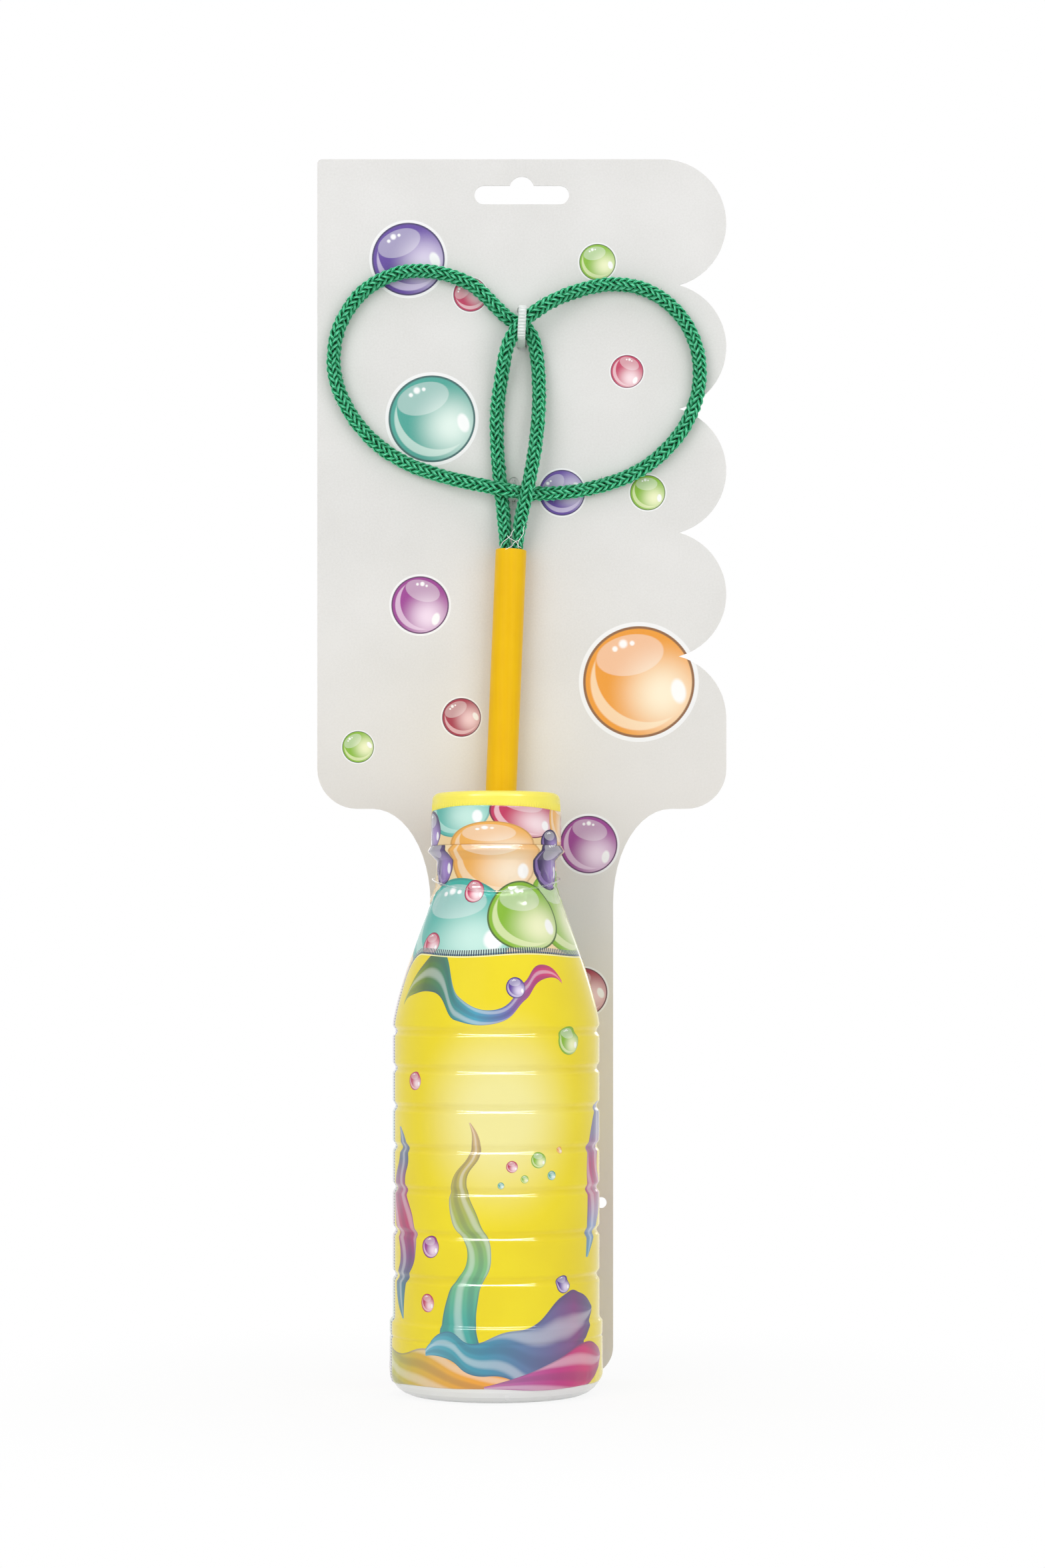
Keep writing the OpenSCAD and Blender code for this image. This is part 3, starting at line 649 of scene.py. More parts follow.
@dataclass(frozen=True)
class PrintedFilm:
    """Glossy shrink film, printed all round with liquid ribbons and bubbles.

    The glow is a pale patch of the ground, given by its middle, half sizes and colour. The crown is the
    printed zone round the panel, which starts at the height crown_z.
    """

    name: str
    ground: str
    deep: str
    bubbles: tuple[PrintedBubble, ...]
    splashes: tuple[Splash, ...] = ()
    crown_z: Optional[float] = None
    panel_turn: float = 8.0
    panel_half: float = 84.0
    corner_r: float = 10.0
    mm_per_degree: float = 0.57
    tooth_pitch: float = 0.95
    strip: tuple[str, ...] = ("D9B7CF", "C4DFC6", "E7C7D8", "BFE0D6", "D8CBE8", "F3D9A8")
    panel_edge: str = "FBF6B4"
    seam_strip: str = "DCE4DE"
    seam_line: str = "3C5F86"
    seam_tooth: str = "1B2C40"
    fold_shade: Colour = (0.05, 0.06, 0.12, 1.0)
    rim_shade: Colour = (0.08, 0.08, 0.16, 1.0)
    fold_scale: Point3 = (260.0, 260.0, 60.0)
    fold_relief: float = 0.25 * MM
    fine_relief: float = 0.03 * MM
    crown_bubbles: tuple[PrintedBubble, ...] = ()
    glow: Optional[tuple[float, float, float, float, str]] = None

    def make(self) -> bpy.types.Material:
        """Build the material, whose print lies by angle and height and comes twice round the bottle.

        Returns:
            The material.
        """
        material, builder, surface = new_material(self.name, Roughness=0.14, Specular_IOR_Level=0.36,
                                                  Coat_Weight=0.25, Coat_Roughness=0.04)
        place = builder.place()
        x, y, z = builder.split(place)
        turn = builder.math("DEGREES", builder.math("ARCTAN2", x, builder.times(y, -1.0)))
        half_turn = builder.math("FLOORED_MODULO", builder.math("ADD", turn, 90.0), 180.0)
        angle = builder.math("SUBTRACT", half_turn, 90.0)
        height = builder.times(z, 1 / MM)
        shade = builder.noise(place, 34, 2, 0.5)
        ink = builder.ramp(shade, [(0.25, rgb(self.deep)), (0.65, rgb(self.ground))])
        if self.glow is not None:
            x0, z0, half_w, half_h, pale = self.glow
            away = builder.vector("LENGTH", builder.join(
                builder.math("MULTIPLY_ADD", angle, 1 / half_w, -x0 / half_w),
                builder.math("MULTIPLY_ADD", height, 1 / half_h, -z0 / half_h)))
            ink = builder.mix(builder.times(builder.step(away, 1.0, 0.2), 0.88), ink, rgb(pale))
        for splash in self.splashes:
            ink = self.draw_splash(builder, ink, splash, angle, height)
        flat = builder.join(angle, height)
        for bubble in self.bubbles:
            ink = BubblePrint.draw(builder, flat, ink, bubble)
        if self.crown_z is not None:
            ink = self.draw_crown(builder, ink, angle, height, flat)
        fold = builder.noise(builder.vector("MULTIPLY", place, self.fold_scale), 1.0, 3, 0.6)
        fine = builder.noise(place, 900, 2, 0.5)
        coarse = builder.bump(fold, 0.25, self.fold_relief)
        relief = builder.bump(fine, 0.1, self.fine_relief, coarse)
        builder.feed_all(surface, {"Base Color": ink, "Normal": relief})
        return material

    def draw_crown(self, builder: NodeBuilder, under: Socket, angle: Socket, height: Socket,
                   flat: Socket) -> Socket:
        """Draw the ground round the panel with its bubbles, and the dotted seam along the panel's edge.

        Args:
            builder: builder on the material's tree.
            under: colour of the panel.
            angle: degrees round the bottle from its front.
            height: millimetres over the standing face.
            flat: the angle and the height as one place.

        Returns:
            The colour of the panel and of what is round it.
        """
        sway = builder.times(builder.math("SINE", builder.times(angle, 0.07)), 0.5)
        rise = builder.math("SUBTRACT", height, builder.math("ADD", sway, self.crown_z))
        folded = builder.math("FLOORED_MODULO", builder.math("ADD", angle, 90.0 - self.panel_turn), 180.0)
        aside = builder.math("ABSOLUTE", builder.math("SUBTRACT", folded, 90.0))
        past = builder.math("SUBTRACT", aside, self.panel_half)
        outward = builder.times(past, self.mm_per_degree)
        corner = [builder.math("MAXIMUM", builder.math("ADD", part, self.corner_r), 0.0)
                  for part in (outward, rise)]
        over = builder.math("SUBTRACT", builder.vector("LENGTH", builder.join(*corner)), self.corner_r)
        upper = builder.ramp(builder.spread(height, 0.0, self.crown_z, 0.0, 1.0),
                             [(i / (len(self.strip) - 1), rgb(code)) for i, code in enumerate(self.strip)])
        for bubble in self.crown_bubbles:
            upper = BubblePrint.draw(builder, flat, upper, bubble)
        ink = builder.mix(builder.step(over, -0.05, 0.1), under, upper)
        edge = builder.times(builder.step(over, -0.45, -0.35), builder.step(over, 0.0, -0.1))
        ink = builder.mix(edge, ink, rgb(self.panel_edge))
        run = builder.mix(builder.step(rise, -self.corner_r, -self.corner_r - 0.1),
                          builder.times(angle, self.mm_per_degree), height)
        wave = builder.math("SINE", builder.times(run, math.tau / self.tooth_pitch))
        tooth = builder.step(wave, 0.0, 0.2)
        start = builder.step(over, 0.0, 0.08)
        seam = builder.times(start, builder.step(over, 2.0, 1.9))
        ink = builder.mix(builder.times(seam, 0.45), ink, rgb(self.seam_strip))
        low = builder.times(start, builder.step(over, 0.7, 0.6))
        ink = builder.mix(builder.times(low, 0.75), ink, rgb(self.seam_line))
        return builder.mix(builder.times(seam, tooth), ink, rgb(self.seam_tooth))

    def draw_splash(self, builder: NodeBuilder, under: Socket, splash: Splash, angle: Socket,
                    height: Socket) -> Socket:
        """Draw one ribbon over a colour.

        Args:
            builder: builder on the material's tree.
            under: colour below the ribbon.
            splash: the ribbon to draw.
            angle: degrees round the bottle from its front.
            height: millimetres over the standing face.

        Returns:
            The colour with the ribbon on it.
        """
        along, across = (height, angle) if splash.upright else (angle, height)
        share = builder.spread(along, splash.start, splash.end, 0.0, 1.0)
        rise = splash.high - splash.low
        middle = builder.math("MULTIPLY_ADD", builder.curve(share, splash.middle), rise, splash.low)
        half = builder.times(builder.curve(share, splash.thickness), rise)
        offset = builder.math("DIVIDE", builder.math("SUBTRACT", across, middle),
                              builder.math("MAXIMUM", half, 0.001))
        inside = builder.times(builder.step(builder.math("ABSOLUTE", offset), 1.0, 0.97),
                               builder.math("GREATER_THAN", half, 0.12))
        for limit, way in ((splash.start, "GREATER_THAN"), (splash.end, "LESS_THAN")):
            inside = builder.times(inside, builder.math(way, along, limit))
        last = len(splash.colours) - 1
        colour = builder.ramp(share, [(i / last, rgb(code)) for i, code in enumerate(splash.colours)])
        slant = builder.times(share, 9.0)
        wave = builder.math("SINE", builder.math("MULTIPLY_ADD", offset, 4.2, slant))
        colour = builder.mix(builder.times(builder.step(wave, 0.2, 1.0), 0.3), colour, WHITE)
        dark = builder.times(builder.step(wave, -0.3, -1.0), 0.25)
        colour = builder.mix(dark, colour, self.fold_shade)
        rim = builder.step(builder.math("ABSOLUTE", offset), 0.86, 0.95)
        colour = builder.mix(builder.times(rim, 0.4), colour, self.rim_shade)
        return builder.mix(inside, under, colour)


@dataclass(frozen=True)
class FoamDisc:
    """White closed-cell foam."""

    colour: str = "F1F0EA"
    deep: str = "DEDCD2"
    cell_scale: float = 2600.0
    relief: float = 0.08 * MM

    def make(self) -> bpy.types.Material:
        """Build the material.

        Returns:
            The material.
        """
        material, builder, surface = new_material("foam", Roughness=0.8, Specular_IOR_Level=0.25)
        place = builder.place()
        cells = builder.node("ShaderNodeTexVoronoi", {"Vector": place, "Scale": self.cell_scale})
        cell = cells.outputs["Distance"]
        tone = builder.ramp(cell, [(0.1, rgb(self.deep)), (0.6, rgb(self.colour))])
        builder.feed_all(surface, {"Base Color": tone, "Normal": builder.bump(cell, 0.5, self.relief)})
        return material


CAP_PLASTIC = SatinPlastic("cap_plastic", "FFE52E", "F6D51E", roughness=0.34, lines=(60.0, 60.0, 60.0),
                           glow=0.12)

CARD_BOARD = PrintedBoard(bubbles=tuple(
    PrintedBubble(x * MM, z * MM, r * MM, r * MM, tint, turn, True, 1.0)
    for x, z, r, tint, turn in (
        (-30, 379, 12.4, Tint.VIOLET, 0.4), (-9, 367, 5.8, Tint.ROSE, 0.9), (34, 378, 6.2, Tint.LIME, 0.2),
        (44, 341, 5.6, Tint.ROSE, -0.4), (-22, 325, 14.8, Tint.TEAL, 0.3), (22, 300, 7.8, Tint.VIOLET, 0.8),
        (51, 300, 6.0, Tint.LIME, 0.0), (-26, 262, 9.8, Tint.MAGENTA, -0.3),
        (-12, 224, 6.6, Tint.CRIMSON, 0.5), (48, 236, 19.0, Tint.AMBER, 0.2), (-47, 214, 5.4, Tint.LIME, 0.6),
        (31, 181, 9.8, Tint.MAGENTA, -0.2), (29, 131, 8.4, Tint.CRIMSON, 0.4))))

NECK_FILM = PrintedFilm("neck_film", "F3D6A2", "E9C07E", bubbles=(
    PrintedBubble(-40, 191, 36, 9.5, Tint.AQUA, edged=False),
    PrintedBubble(27, 188.5, 33, 7.2, Tint.ROSE, turn=-0.05),
    PrintedBubble(76, 188, 22, 9, Tint.PEACH, edged=False),
    PrintedBubble(-4, 179, 40, 7.6, Tint.PEACH, edged=False),
    PrintedBubble(-74, 184, 17, 6.4, Tint.INDIGO),
    PrintedBubble(56, 180, 13, 4.2, Tint.INDIGO)))

BODY_FILM = PrintedFilm(
    "printed_film", "F4DF0A", "EED602", crown_z=143.5, glow=(2, 92, 52, 38, "F6EEA6"),
    crown_bubbles=(
        PrintedBubble(-2, 174, 44, 11.5, Tint.PEACH, edged=False),
        PrintedBubble(66, 158, 34, 15, Tint.LIME, edged=False),
        PrintedBubble(-36, 153, 52, 15.5, Tint.AQUA, edged=False),
        PrintedBubble(-64, 174, 19, 8.0, Tint.INDIGO), PrintedBubble(60, 173, 22, 8.6, Tint.INDIGO),
        PrintedBubble(24, 156, 31, 11.5, Tint.LIME), PrintedBubble(-52, 147, 9, 3.8, Tint.ROSE),
        PrintedBubble(-20, 164, 9.5, 3.7, Tint.ROSE)),
    splashes=(
        Splash(-66, 44, 118, 146,
               ((0, 0.35), (0.1, 0.62), (0.24, 0.72), (0.4, 0.3), (0.58, 0.2), (0.76, 0.5), (0.9, 0.72),
                (1, 0.6)),
               ((0, 0.02), (0.1, 0.16), (0.26, 0.24), (0.42, 0.13), (0.6, 0.08), (0.78, 0.1), (0.92, 0.07),
                (1, 0.02)),
               ("A9B52A", "5C7F3A", "3F8576", "4AA3C0", "6F6BB0", "C23A78", "E34A72")),
        Splash(12, 90, -36, 8,
               ((0, 0.5), (0.14, 0.36), (0.3, 0.42), (0.46, 0.62), (0.6, 0.44), (0.75, 0.36), (0.9, 0.58),
                (1, 0.5)),
               ((0, 0.3), (0.14, 0.24), (0.3, 0.2), (0.46, 0.15), (0.6, 0.18), (0.75, 0.1), (0.9, 0.06),
                (1, 0.01)),
               ("3F9FA5", "4FB0A0", "7FBF84", "A9B85E", "C2B060", "DDB88E"), upright=True),
        Splash(46, 96, 50, 84, ((0, 0.3), (0.2, 0.5), (0.4, 0.66), (0.6, 0.52), (0.8, 0.7), (1, 0.8)),
               ((0, 0.03), (0.2, 0.2), (0.4, 0.34), (0.6, 0.22), (0.8, 0.28), (1, 0.05)),
               ("4AA3B8", "8A9CC8", "B8567F", "C03A78", "8A7FA8", "6A7A9E"), upright=True),
        Splash(26, 88, -75, -44,
               ((0, 0.42), (0.16, 0.3), (0.34, 0.56), (0.52, 0.4), (0.7, 0.26), (0.86, 0.44), (1, 0.3)),
               ((0, 0.02), (0.16, 0.2), (0.34, 0.26), (0.52, 0.36), (0.7, 0.24), (0.86, 0.16), (1, 0.03)),
               ("3A8FA0", "3F7F92", "8A4F88", "C23A6E", "B0507E", "6F7A96", "8FA0B4"), upright=True),
        Splash(-80, 10, 4, 26, ((0, 0.3), (0.2, 0.24), (0.45, 0.3), (0.7, 0.22), (1, 0.2)),
               ((0, 0.3), (0.2, 0.26), (0.45, 0.32), (0.7, 0.24), (0.9, 0.2), (1, 0.06)),
               ("B9C24A", "CDBB48", "E2B04A", "F2A83C", "F0A24A")),
        Splash(-40, 66, 4, 40,
               ((0, 0.34), (0.12, 0.42), (0.26, 0.3), (0.42, 0.34), (0.58, 0.3), (0.74, 0.44), (0.88, 0.62),
                (1, 0.7)),
               ((0, 0.03), (0.12, 0.12), (0.26, 0.14), (0.42, 0.2), (0.58, 0.3), (0.74, 0.4), (0.88, 0.24),
                (1, 0.02)),
               ("6FB2C8", "4FA3B4", "4A93B0", "5F7FA8", "6F6A9A", "8A4F88", "5A5F86")),
        Splash(-6, 76, 3, 24, ((0, 0.1), (0.25, 0.16), (0.5, 0.26), (0.75, 0.4), (1, 0.5)),
               ((0, 0.05), (0.25, 0.16), (0.5, 0.28), (0.75, 0.36), (0.92, 0.2), (1, 0.02)),
               ("C87FB0", "B95FA0", "C23A86", "D23A78", "A83A70"))),
    bubbles=(
        PrintedBubble(12, 133, 5.8, 3.4, Tint.VIOLET),
        PrintedBubble(44, 116, 7.6, 4.6, Tint.LIME, edged=False),
        PrintedBubble(-50, 103, 5.0, 3.0, Tint.ROSE, edged=False),
        PrintedBubble(-38, 50, 5.8, 3.6, Tint.MAGENTA), PrintedBubble(40, 38, 4.8, 2.9, Tint.VIOLET),
        PrintedBubble(-40, 32, 4.6, 3.0, Tint.ROSE, edged=False),
        PrintedBubble(24, 78, 4.4, 2.6, Tint.LIME, edged=False),
        PrintedBubble(32, 73, 2.6, 1.5, Tint.TEAL, edged=False),
        PrintedBubble(16, 72, 2.2, 1.3, Tint.LIME, edged=False),
        PrintedBubble(9, 76, 3.2, 1.9, Tint.ROSE, edged=False),
        PrintedBubble(3, 70, 1.8, 1.1, Tint.TEAL, edged=False),
        PrintedBubble(38, 81, 1.8, 1.1, Tint.AMBER, edged=False)))


def add_object(name: str, data: Optional[bpy.types.ID]) -> bpy.types.Object:
    """Put a mesh, a lamp or a camera into the scene as a new object."""
    thing = bpy.data.objects.new(name, data)
    bpy.context.scene.collection.objects.link(thing)
    return thing


def mesh_object(name: str, vertices: np.ndarray, faces: Iterable[Sequence[int]],
                smooth: bool = True) -> bpy.types.Object:
    """Make an object from points and faces.

    Args:
        name: name of the object.
        vertices: rows of x, y and z.
        faces: lists of point numbers.
        smooth: shade the faces smoothly.

    Returns:
        The object, linked to the scene.
    """
    mesh = bpy.data.meshes.new(name)
    mesh.from_pydata([tuple(v) for v in vertices], [], [tuple(f) for f in faces])
    mesh.polygons.foreach_set("use_smooth", [smooth] * len(mesh.polygons))
    mesh.update()
    return add_object(name, mesh)


def grid_faces(rings: int, sides: int, closed: bool = False) -> list[tuple[int, int, int, int]]:
    """Faces between rings of points, each ring closed on itself.

    Args:
        rings: number of rings.
        sides: points in a ring.
        closed: join the last ring to the first.

    Returns:
        Four point numbers for each face.
    """
    faces = []
    for i in range(rings if closed else rings - 1):
        for j in range(sides):
            a, b = i * sides + j, i * sides + (j + 1) % sides
            c = ((i + 1) % rings) * sides
            faces.append((a, b, c + (j + 1) % sides, c + j))
    return faces


def tube_faces(rings: int, sides: int) -> list[tuple[int, ...]]:
    """Faces between rings of points, with one face over each end."""
    ends = [tuple(range(sides))[::-1], tuple((rings - 1) * sides + n for n in range(sides))]
    return grid_faces(rings, sides) + ends


def smooth_route(points: Sequence[Sequence[float]], spacing: float) -> np.ndarray:
    """Run a smooth curve through the points of a route.

    Args:
        points: the route's points, in metres.
        spacing: distance between the points of the result.

    Returns:
        Evenly spaced points along the curve.
    """
    steps_per_leg = 24
    given = np.array(points, dtype=float)
    padded = np.vstack([2 * given[0] - given[1], given, 2 * given[-1] - given[-2]])
    dense = []
    for i in range(1, len(padded) - 2):
        p0, p1, p2, p3 = padded[i - 1:i + 3]
        for t in np.linspace(0, 1, steps_per_leg, endpoint=False):
            dense.append(0.5 * (2 * p1 + (p2 - p0) * t + (2 * p0 - 5 * p1 + 4 * p2 - p3) * t ** 2
                                + (3 * p1 - p0 - 3 * p2 + p3) * t ** 3))
    dense.append(given[-1])
    line = np.array(dense)
    reach = np.concatenate([[0], np.cumsum(np.linalg.norm(np.diff(line, axis=0), axis=1))])
    even = np.linspace(0, reach[-1], max(2, round(reach[-1] / spacing) + 1))
    return np.column_stack([np.interp(even, reach, line[:, k]) for k in range(3)])


def route_frames(line: np.ndarray, first: Sequence[float]) -> tuple[np.ndarray, np.ndarray, np.ndarray]:
    """Carry two side directions along a line with as little twist as possible.

    Args:
        line: evenly spaced points.
        first: rough side direction at the start.

    Returns:
        Direction of the line and both side directions at each point.
    """
    heading = np.gradient(line, axis=0)
    heading /= np.linalg.norm(heading, axis=1)[:, None]
    side = np.zeros_like(line)
    guess = np.array(first, dtype=float)
    for i, forward in enumerate(heading):
        guess = guess - forward * np.dot(guess, forward)
        guess /= np.linalg.norm(guess)
        side[i] = guess
    return heading, side, np.cross(heading, side)


def sweep(name: str, line: np.ndarray, first: Sequence[float], section: np.ndarray,
          share: Optional[np.ndarray] = None) -> bpy.types.Object:
    """Draw a section along a line, with a closed face at both ends.

    Args:
        name: name of the object.
        line: evenly spaced points.
        first: rough side direction at the start.
        section: points of the section, along the side direction and square to it.
        share: size of the section at each point of the line.

    Returns:
        The object.
    """
    _, side, lift = route_frames(line, first)
    size = np.ones(len(line)) if share is None else share
    ring = line[:, None, :] + size[:, None, None] * (
        section[None, :, :1] * side[:, None, :] + section[None, :, 1:] * lift[:, None, :])
    return mesh_object(name, ring.reshape(-1, 3), tube_faces(len(line), len(section)))


def round_section(sides: int, radius: float) -> np.ndarray:
    """Points of a circle, for a sweep."""
    angles = np.linspace(0, math.tau, sides, endpoint=False)
    return radius * np.column_stack([np.cos(angles), np.sin(angles)])


def strap_section(width: float, thickness: float, radius: float) -> np.ndarray:
    """Points of a rectangle with round corners, for a sweep.

    Args:
        width: size along the first side direction.
        thickness: size along the second one.
        radius: radius of the corners.

    Returns:
        Rows of two coordinates.
    """
    corner_steps = 4
    points = []
    for corner, (x, y) in enumerate(((1, 1), (-1, 1), (-1, -1), (1, -1))):
        for step in range(corner_steps + 1):
            a = math.pi / 2 * (corner + step / corner_steps)
            points.append((x * (width / 2 - radius) + radius * math.cos(a),
                           y * (thickness / 2 - radius) + radius * math.sin(a)))
    return np.array(points)


def lathe(name: str, profile: Sequence[Point2], sides: int,
          relief: Optional[np.ndarray] = None) -> bpy.types.Object:
    """Turn a closed profile round the z axis.

    Args:
        name: name of the object.
        profile: radius and height of each point, up the outside and down the inside.
        sides: points round the axis.
        relief: outward offset of each point, one row for each point of the profile.

    Returns:
        The object.
    """
    line = np.array(profile, dtype=float)
    angles = np.linspace(0, math.tau, sides, endpoint=False)
    radius = line[:, :1] + (np.zeros((len(line), sides)) if relief is None else relief)
    points = np.stack([radius * np.cos(angles), radius * np.sin(angles),
                       np.repeat(line[:, 1:], sides, axis=1)], axis=2)
    return mesh_object(name, points.reshape(-1, 3), grid_faces(len(line), sides, closed=True))


def dress(node: str, material: bpy.types.Material) -> bpy.types.Object:
    """Give a CAD node its finish.

    Args:
        node: name of the node.
        material: the finish.

    Returns:
        The node's object.
    """
    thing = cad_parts[node]
    if not thing.data.materials:
        thing.data.materials.append(material)
    for number in range(len(thing.material_slots)):
        thing.material_slots[number].material = material
    return thing


class Recipe(NodeBuilder):
    """A Geometry Nodes tree with named inputs that turns a plain mesh into a detailed one."""

    def __init__(self, name: str, inputs: dict[str, str]) -> None:
        """Start the tree.

        Args:
            name: name of the tree.
            inputs: kind of each named input, such as Float or Int.
        """
        super().__init__(bpy.data.node_groups.new(name, "GeometryNodeTree"))
        self.tree.interface.new_socket("Geometry", in_out="INPUT", socket_type="NodeSocketGeometry")
        for label, kind in inputs.items():
            self.tree.interface.new_socket(label, in_out="INPUT", socket_type=f"NodeSocket{kind}")
        self.tree.interface.new_socket("Material", in_out="INPUT", socket_type="NodeSocketMaterial")
        self.tree.interface.new_socket("Geometry", in_out="OUTPUT", socket_type="NodeSocketGeometry")
        self.given = self.add("NodeGroupInput").outputs

    def close(self, geometry: Socket) -> None:
        """End the tree: make the copies real and give them their material.

        Args:
            geometry: what the tree has made.
        """
        real = self.node("GeometryNodeRealizeInstances", {"Geometry": geometry})
        smooth = self.node("GeometryNodeSetShadeSmooth", {"Geometry": real.outputs[0]})
        paint = self.node("GeometryNodeSetMaterial",
                          {"Geometry": smooth.outputs[0], "Material": self.given["Material"]})
        self.node("NodeGroupOutput", {"Geometry": paint.outputs[0]})

    def bake(self, name: str, base: bpy.types.Object, values: dict[str, object]) -> bpy.types.Object:
        """Run the tree on a mesh and keep the result as a plain mesh.

        Args:
            name: name of the result.
            base: object that the tree starts from, which is removed.
            values: value of each named input.

        Returns:
            The new object.
        """
        modifier = base.modifiers.new(name, "NODES")
        modifier.node_group = self.tree
        for item in self.tree.interface.items_tree:
            if item.in_out == "INPUT" and item.name in values:
                modifier[item.identifier] = values[item.name]
        evaluated = base.evaluated_get(bpy.context.evaluated_depsgraph_get())
        mesh = bpy.data.meshes.new_from_object(evaluated)
        bpy.data.objects.remove(base)
        mesh.name = name
        return add_object(name, mesh)


class Recipes:
    """The Geometry Nodes recipes that several pieces share."""

    @staticmethod
    def cord() -> Recipe:
        """Round cords along the lines of a mesh.

        Returns:
            The recipe.
        """
        recipe = Recipe("round_cord", {"Radius": "Float", "Sides": "Int"})
        curve = recipe.node("GeometryNodeMeshToCurve", {"Mesh": recipe.given["Geometry"]})
        circle = recipe.node("GeometryNodeCurvePrimitiveCircle",
                             {"Resolution": recipe.given["Sides"], "Radius": recipe.given["Radius"]})
        tube = recipe.node("GeometryNodeCurveToMesh",
                           {"Curve": curve.outputs[0], "Profile Curve": circle.outputs[0], "Fill Caps": True})
        recipe.close(tube.outputs[0])
        return recipe

    @staticmethod
    def ridges() -> Recipe:
        """Short cross bars, evenly spaced along the lines of a mesh.

        Returns:
            The recipe.
        """
        recipe = Recipe("strap_ridges", {"Pitch": "Float", "Bar Radius": "Float", "Bar Length": "Float"})
        curve = recipe.node("GeometryNodeMeshToCurve", {"Mesh": recipe.given["Geometry"]})
        even = recipe.node("GeometryNodeResampleCurve",
                           {"Curve": curve.outputs[0], "Length": recipe.given["Pitch"]}, mode="LENGTH")
        bar = recipe.node("GeometryNodeMeshCylinder",
                          {"Vertices": 8, "Radius": recipe.given["Bar Radius"],
                           "Depth": recipe.given["Bar Length"]})
        copies = recipe.node("GeometryNodeInstanceOnPoints",
                             {"Points": even.outputs[0], "Instance": bar.outputs["Mesh"],
                              "Rotation": (0.0, math.pi / 2, 0.0)})
        recipe.close(copies.outputs[0])
        return recipe

    @staticmethod
    def knurls() -> Recipe:
        """Rounded upright ribs on each point of a mesh.

        Returns:
            The recipe.
        """
        recipe = Recipe("cap_knurls", {"Rib Radius": "Float", "Rib Height": "Float"})
        ball = recipe.node("GeometryNodeMeshUVSphere", {"Segments": 8, "Rings": 6, "Radius": 1.0})
        half_height = recipe.times(recipe.given["Rib Height"], 0.5)
        size = recipe.join(recipe.given["Rib Radius"], recipe.given["Rib Radius"], half_height)
        copies = recipe.node("GeometryNodeInstanceOnPoints",
                             {"Points": recipe.given["Geometry"], "Instance": ball.outputs["Mesh"],
                              "Scale": size})
        recipe.close(copies.outputs[0])
        return recipe

    @staticmethod
    def fuzz() -> Recipe:
        """Fine fibres that stand out of a surface at all slants, carrying a lift value that the rope's
        material turns into painted light.

        Returns:
            The recipe.
        """
        recipe = Recipe("rope_fuzz", {"Density": "Float", "Seed": "Int", "Fibre Length": "Float",
                                      "Root Radius": "Float", "Tip Radius": "Float", "Slant": "Float",
                                      "Least Share": "Float", "Most Share": "Float", "Lift": "Float"})
        spots = recipe.node("GeometryNodeDistributePointsOnFaces",
                            {"Mesh": recipe.given["Geometry"], "Density": recipe.given["Density"],
                             "Seed": recipe.given["Seed"]})
        fibre = recipe.node("GeometryNodeMeshCone",
                            {"Vertices": 3, "Radius Top": recipe.given["Tip Radius"],
                             "Radius Bottom": recipe.given["Root Radius"],
                             "Depth": recipe.given["Fibre Length"]})
        slant = recipe.given["Slant"]
        back = recipe.times(slant, -1.0)
        lean = recipe.node("FunctionNodeRandomValue", {"Seed": recipe.given["Seed"]},
                           data_type="FLOAT_VECTOR")
        recipe.feed(lean.inputs[0], recipe.join(back, back, back))
        recipe.feed(lean.inputs[1], recipe.join(slant, slant, slant))
        turned = recipe.node("FunctionNodeRotateRotation",
                             {"Rotation": spots.outputs["Rotation"], "Rotate By": lean.outputs[0]},
                             rotation_space="LOCAL")
        length = recipe.node("FunctionNodeRandomValue", {"Seed": 3})
        recipe.feed(length.inputs[2], recipe.given["Least Share"])
        recipe.feed(length.inputs[3], recipe.given["Most Share"])
        copies = recipe.node("GeometryNodeInstanceOnPoints",
                             {"Points": spots.outputs["Points"], "Instance": fibre.outputs["Mesh"],
                              "Rotation": turned.outputs[0], "Scale": length.outputs[1]})
        real = recipe.node("GeometryNodeRealizeInstances", {"Geometry": copies.outputs[0]})
        lit = recipe.node("GeometryNodeStoreNamedAttribute",
                          {"Geometry": real.outputs[0], "Name": "lift", "Value": recipe.given["Lift"]})
        recipe.close(lit.outputs[0])
        return recipe


def path_mesh(name: str, lines: Sequence[np.ndarray]) -> bpy.types.Object:
    """Make a mesh that holds only lines, for a recipe to follow.

    Args:
        name: name of the object.
        lines: points of each line.

    Returns:
        The object.
    """
    mesh = bpy.data.meshes.new(name)
    edges, start = [], 0
    for line in lines:
        edges += [(start + i, start + i + 1) for i in range(len(line) - 1)]
        start += len(line)
    mesh.from_pydata([tuple(p) for line in lines for p in line], edges, [])
    return add_object(name, mesh)


